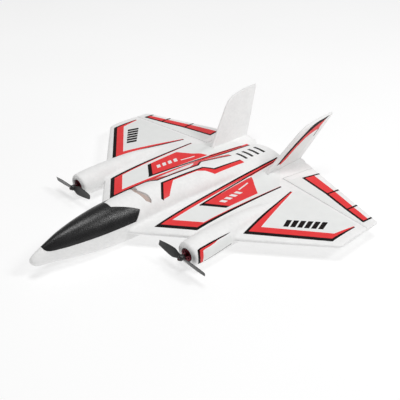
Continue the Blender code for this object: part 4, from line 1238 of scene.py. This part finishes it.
FIN_OUTER = [(97.5, 11.0), (106.3, 21.5), (117.6, 32.4), (129.6, 42.0), (136.0, 47.0), (141.9, 50.3),
             (149.5, 52.1), (166.0, 53.0)]
FIN_MIDDLE = [(101.0, 11.6), (107.8, 18.0), (119.3, 28.6), (131.2, 38.2), (137.8, 42.2), (144.4, 45.4),
              (151.9, 47.8), (161.5, 49.8)]
FIN_INNER = [(103.2, 10.0), (109.8, 13.8), (120.9, 25.1), (133.3, 34.2), (140.4, 37.2), (146.2, 38.8),
             (154.0, 39.6)]
FIN_PANEL = [(105.6, 9.4), (110.9, 12.8), (121.8, 23.8), (134.0, 32.9), (140.9, 35.9), (146.5, 37.4),
             (152.6, 37.9), (150.6, 32.4), (141.0, 18.1), (135.6, 9.4)]


def build_fin_decals():
    for tag, side in SIDES.items():
        black = FIN_OUTER + list(reversed(FIN_MIDDLE))
        red = FIN_MIDDLE + [(155.6, 42.4)] + list(reversed(FIN_INNER))
        tick = bar((154.6, 40.0), (149.8, 30.6), 0.5, 1.3)
        fin_decal("fin_panel_" + tag, [FIN_PANEL], GREY_FILM, side, 0)
        fin_decal("fin_trim_black_" + tag, [black, tick], BLACK_FILM, side, 2)
        fin_decal("fin_trim_red_" + tag, [red], RED_FILM, side, 1)


# ---------------------------------------------------------------- motors and propellers

def blade_ring(radius):
    share = radius / PROP_RADIUS
    chord = along([(0.0, 4.0), (0.12, 5.0), (0.36, 8.9), (0.6, 8.2), (0.85, 6.4), (0.98, 5.2), (1.0, 4.6)],
                  share)
    thick = along([(0.0, 1.9), (0.3, 1.2), (1.0, 0.6)], share)
    twist = along([(0.0, math.radians(34)), (0.4, math.radians(23)), (1.0, math.radians(13))], share)
    ring = []
    for angle in round_angles(22):
        across = chord / 2 * math.cos(angle)
        deep = thick / 2 * math.sin(angle) + 0.35 * math.cos(angle) ** 2
        ring.append(Vector((radius, across * math.sin(twist) - deep * math.cos(twist),
                            across * math.cos(twist) + deep * math.sin(twist))))
    return ring


def build_propeller(tag, side):
    centre = nacelle_axis(side, PROP_Y)
    bore_radius = SHAFT_RADIUS + 0.25
    hub = revolve([(0, 2.4), (1.9, 2.4), (2.5, 2.1), (2.8, 1.5), (2.8, -2.0), (2.5, -2.4), (0, -2.4)],
                  centre, 40)
    radii = (1.6, 3, 4.5, 6, 8, 10, 12, 14.5, 17, 19.5, 22, 24.5, 26.5, 28.2, 29.1, 29.6, PROP_RADIUS)
    for number in (0, 1):
        blade = loft([blade_ring(radius) for radius in radii])
        mirror = Matrix.Scale(-side, 4, (1, 0, 0))
        turn = Matrix.Rotation(math.pi * number + side * PROP_TILT, 4, 'Y')
        bmesh.ops.transform(blade, matrix=Matrix.Translation(centre) @ turn @ mirror, verts=blade.verts)
        hub = combine(hub, blade, 'UNION')
    half_bore = Vector((0, 4, 0))
    hub = combine(hub, cylinder(centre + half_bore, centre - half_bore, bore_radius, 24))
    piece("propeller_blades_" + tag, hub, BLACK_PLASTIC, "propeller_" + tag,
          ["propeller_" + tag], 40)
    collar = revolve([(bore_radius, 75.9), (1.35, 75.9), (1.6, 75.6), (1.8, 75.0), (1.8, 74.7),
                      (bore_radius, 74.7)], nacelle_axis(side), 32)
    piece("shaft_collar_" + tag, collar, BLACK_PLASTIC, "propeller_" + tag, ["prop_collar_" + tag])


def build_motor(tag, side):
    origin = nacelle_axis(side)
    shell = revolve([(0, 76.0), (0.55, 76.0), (SHAFT_RADIUS, 75.8), (SHAFT_RADIUS, 68.4), (1.5, 68.2),
                     (1.7, 67.9), (1.7, 66.7), (5.0, 66.6), (5.45, 66.5), (5.8, 66.1), (5.9, 65.7),
                     (5.9, 63.6), (5.75, 63.4), (5.75, 62.9), (5.9, 62.7), (5.9, 54.4), (5.8, 54.2),
                     (5.1, 54.2), (5.1, 64.6), (SHAFT_RADIUS, 64.6), (SHAFT_RADIUS, 49.4), (0, 49.4)],
                    origin, 64)
    vents = []
    for angle in round_angles(6, 0.5):
        spoke = origin + polar(3.55, angle)
        vents.append(cylinder(spoke + Vector((0, -64.0, 0)), spoke + Vector((0, -68.5, 0)), 1.05, 20))
    shell = combine(shell, joined(vents))
    piece("motor_can_" + tag, shell, WINE, "propeller_" + tag, ["motor_bell_" + tag], 30)
    coils = []
    for angle in round_angles(9):
        middle = origin + polar(3.7, angle, -60.0)
        coil = bmesh.new()
        bmesh.ops.create_uvsphere(coil, u_segments=14, v_segments=10, radius=1.0)
        bmesh.ops.scale(coil, verts=coil.verts, vec=(1.15, 3.3, 1.15))
        bmesh.ops.translate(coil, verts=coil.verts, vec=middle)
        coils.append(coil)
    core = revolve([(1.15, 63.4), (3.4, 63.4), (3.4, 56.4), (3.2, 56.0), (3.2, 53.2), (5.2, 53.0),
                    (5.2, 51.1), (1.15, 51.1)], origin, 48)
    for up in (3.6, -3.6):
        hole = cylinder(origin + Vector((0, -46, up)), origin + Vector((0, -53.6, up)), 0.95, 20)
        core = combine(core, hole)
    piece("motor_windings_" + tag, joined(coils), COPPER, "airframe")
    piece("motor_base_" + tag, core, STEEL, "airframe", ["motor_stator_" + tag])


# ---------------------------------------------------------------- linkage, battery and wiring

def build_linkage(tag, side):
    shaft = servo_frame(side)
    case = rounded_box((-12.5, -11.6, -3.5), (-2.2, 5.1, 4.5), 0.45, shaft)
    seams = [box((-13, -12, -1.15), (-1.7, -11.45, -0.95), shaft),
             box((-13, 4.95, -1.15), (-1.7, 5.6, -0.95), shaft),
             box((-2.35, -11.4, -1.15), (-1.7, 4.9, -0.95), shaft)]
    case = combine(case, joined(seams))
    case = combine(case, cylinder(shaft @ Vector((-3.2, 0, 0)), shaft @ Vector((-1.1, 0, 0)), 2.6), 'UNION')

    def at_screws(low, high, radius, sides):
        return joined([cylinder(shaft @ Vector((x, c, low)), shaft @ Vector((x, c, high)), radius, sides)
                       for x in (-11.4, -3.4) for c in (-10.5, 4.0)])

    case = combine(case, at_screws(-3.7, -3.3, 0.55, 16))
    piece("servo_case_" + tag, case, BLACK_PLASTIC, "airframe", ["servo_" + tag], 30)
    piece("servo_case_screws_" + tag, at_screws(-3.55, -3.0, 0.42, 14), STEEL, "airframe")


def build_battery():
    cells_pair = [rounded_box((-10, -108, low), (10, -60, low + 6.35), 1.5, None, 5) for low in (7.1, 13.75)]
    tape = combine(box((-10.05, -92, 7.05), (10.05, -76, 20.15)), box((-9.2, -93, 7.9), (9.2, -75, 19.3)))
    piece("battery_cells", joined(cells_pair), WRAP, "airframe", ["battery_pack"], 40)
    piece("battery_tape", tape, BLACK_PLASTIC, "airframe")

    def wires(x, bend, dip):
        return joined([tube([(x, -60.2, 15), (x, bend, 15), (x, dip, 11.2), (x, -54.0, 9.3)], 0.55),
                       tube([(x, -46.4, 8.4), (x, -39.0, 8.4)], 0.55)])

    piece("battery_wires_red", wires(3.2, -56.5, -54.6), RED_WIRE, "airframe",
          ["battery_lead", "receiver_lead"])
    piece("battery_wires_black", wires(5.0, -56.3, -54.5), BLACK_WIRE, "airframe")


NODE_MATERIALS = {
    "battery_pad": LOOP, "receiver_pad": LOOP, "battery_connector": IVORY, "receiver_board": BOARD,
    "receiver_antenna": BLACK_WIRE, "carbon_spar": CARBON,
}
SIDE_MATERIALS = {
    "deck_magnet": STEEL, "hatch_magnet": STEEL, "motor_mount": BLACK_PLASTIC, "servo_arm": IVORY,
    "servo_screw": STEEL, "pushrod": STEEL, "control_horn": BLACK_PLASTIC, "motor_lead": BLACK_WIRE,
    "servo_lead": BLACK_WIRE,
}


def dress_cad_nodes():
    """Give each CAD node that stays in view its finished material."""
    dressed = dict(NODE_MATERIALS)
    for tag in SIDES:
        for name, mat in SIDE_MATERIALS.items():
            dressed[name + "_" + tag] = mat
        for number in (1, 2):
            dressed["motor_screw_%s_%d" % (tag, number)] = STEEL
    for name, mat in dressed.items():
        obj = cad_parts[name]
        obj.data.materials.clear()
        obj.data.materials.append(mat)


# ---------------------------------------------------------------- studio

FLOOR_SIZE = 8.0
FLOOR_GLOW = 0.54
SKY_LEVEL = 0.36
CAMERA_AZIMUTH = math.radians(46.552)
CAMERA_ELEVATION = math.radians(31.752)
CAMERA_LENS = 60.437
CAMERA_PLACE = (0.43958, -0.38699, 0.36832)


def build_studio():
    floor = bpy.data.meshes.new("floor")
    half = FLOOR_SIZE / 2
    corners = [(-half, -half, 0), (half, -half, 0), (half, half, 0), (-half, half, 0)]
    floor.from_pydata(corners, [], [(0, 1, 2, 3)])
    mat, tree, shader = shader_tree("floor_paper")
    paint(tree, shader, noise(tree, 3, 2).outputs["Fac"], [(0.3, 0.47), (0.7, 0.49)])
    set_inputs(shader, {"Emission Color": (1.0, 1.0, 1.0, 1.0), "Emission Strength": FLOOR_GLOW,
                        "Roughness": 0.9, "Specular IOR Level": 0.1})
    floor.materials.append(mat)
    plane = bpy.data.objects.new("floor", floor)
    bpy.context.scene.collection.objects.link(plane)

    world = bpy.data.worlds.new("studio")
    world.use_nodes = True
    set_inputs(world.node_tree.nodes["Background"], {"Color": (1.0, 1.0, 1.0, 1.0), "Strength": SKY_LEVEL})
    bpy.context.scene.world = world
    bpy.context.scene.view_settings.view_transform = 'Standard'

    def area(name, place, size, power):
        """Round lamp aimed at the model."""
        data = bpy.data.lights.new(name, 'AREA')
        data.shape = 'DISK'
        data.size = size
        data.energy = power
        lamp = bpy.data.objects.new(name, data)
        lamp.location = place
        lamp.rotation_mode = 'QUATERNION'
        lamp.rotation_quaternion = (-Vector(place)).to_track_quat('-Z', 'Y')
        bpy.context.scene.collection.objects.link(lamp)

    area("overhead", (0.05, 0.1, 1.9), 0.8, 14.0)
    area("side_key", (0.93, 0.54, 1.05), 0.4, 6.0)


def build_camera():
    level = math.cos(CAMERA_ELEVATION)
    back = Vector((math.sin(CAMERA_AZIMUTH) * level, -math.cos(CAMERA_AZIMUTH) * level,
                   math.sin(CAMERA_ELEVATION)))
    data = bpy.data.cameras.new("camera")
    data.sensor_width = 36.0
    data.lens = CAMERA_LENS
    data.clip_start = 0.01
    camera = bpy.data.objects.new("camera", data)
    camera.location = CAMERA_PLACE
    camera.rotation_mode = 'QUATERNION'
    camera.rotation_quaternion = back.to_track_quat('Z', 'Y')
    bpy.context.scene.collection.objects.link(camera)
    bpy.context.scene.camera = camera


build_camera()
build_studio()
airframe_piece = build_upper_moulding()
build_lower_mouldings()
build_canopy()
build_fins()
build_elevons()
build_top_decals(airframe_piece)
build_elevon_decals({tag: bpy.data.objects["elevon_moulding_" + tag] for tag in SIDES})
build_nacelle_decals()
build_fin_decals()
for tag_name, side_sign in SIDES.items():
    build_propeller(tag_name, side_sign)
    build_motor(tag_name, side_sign)
    build_linkage(tag_name, side_sign)
build_battery()
dress_cad_nodes()
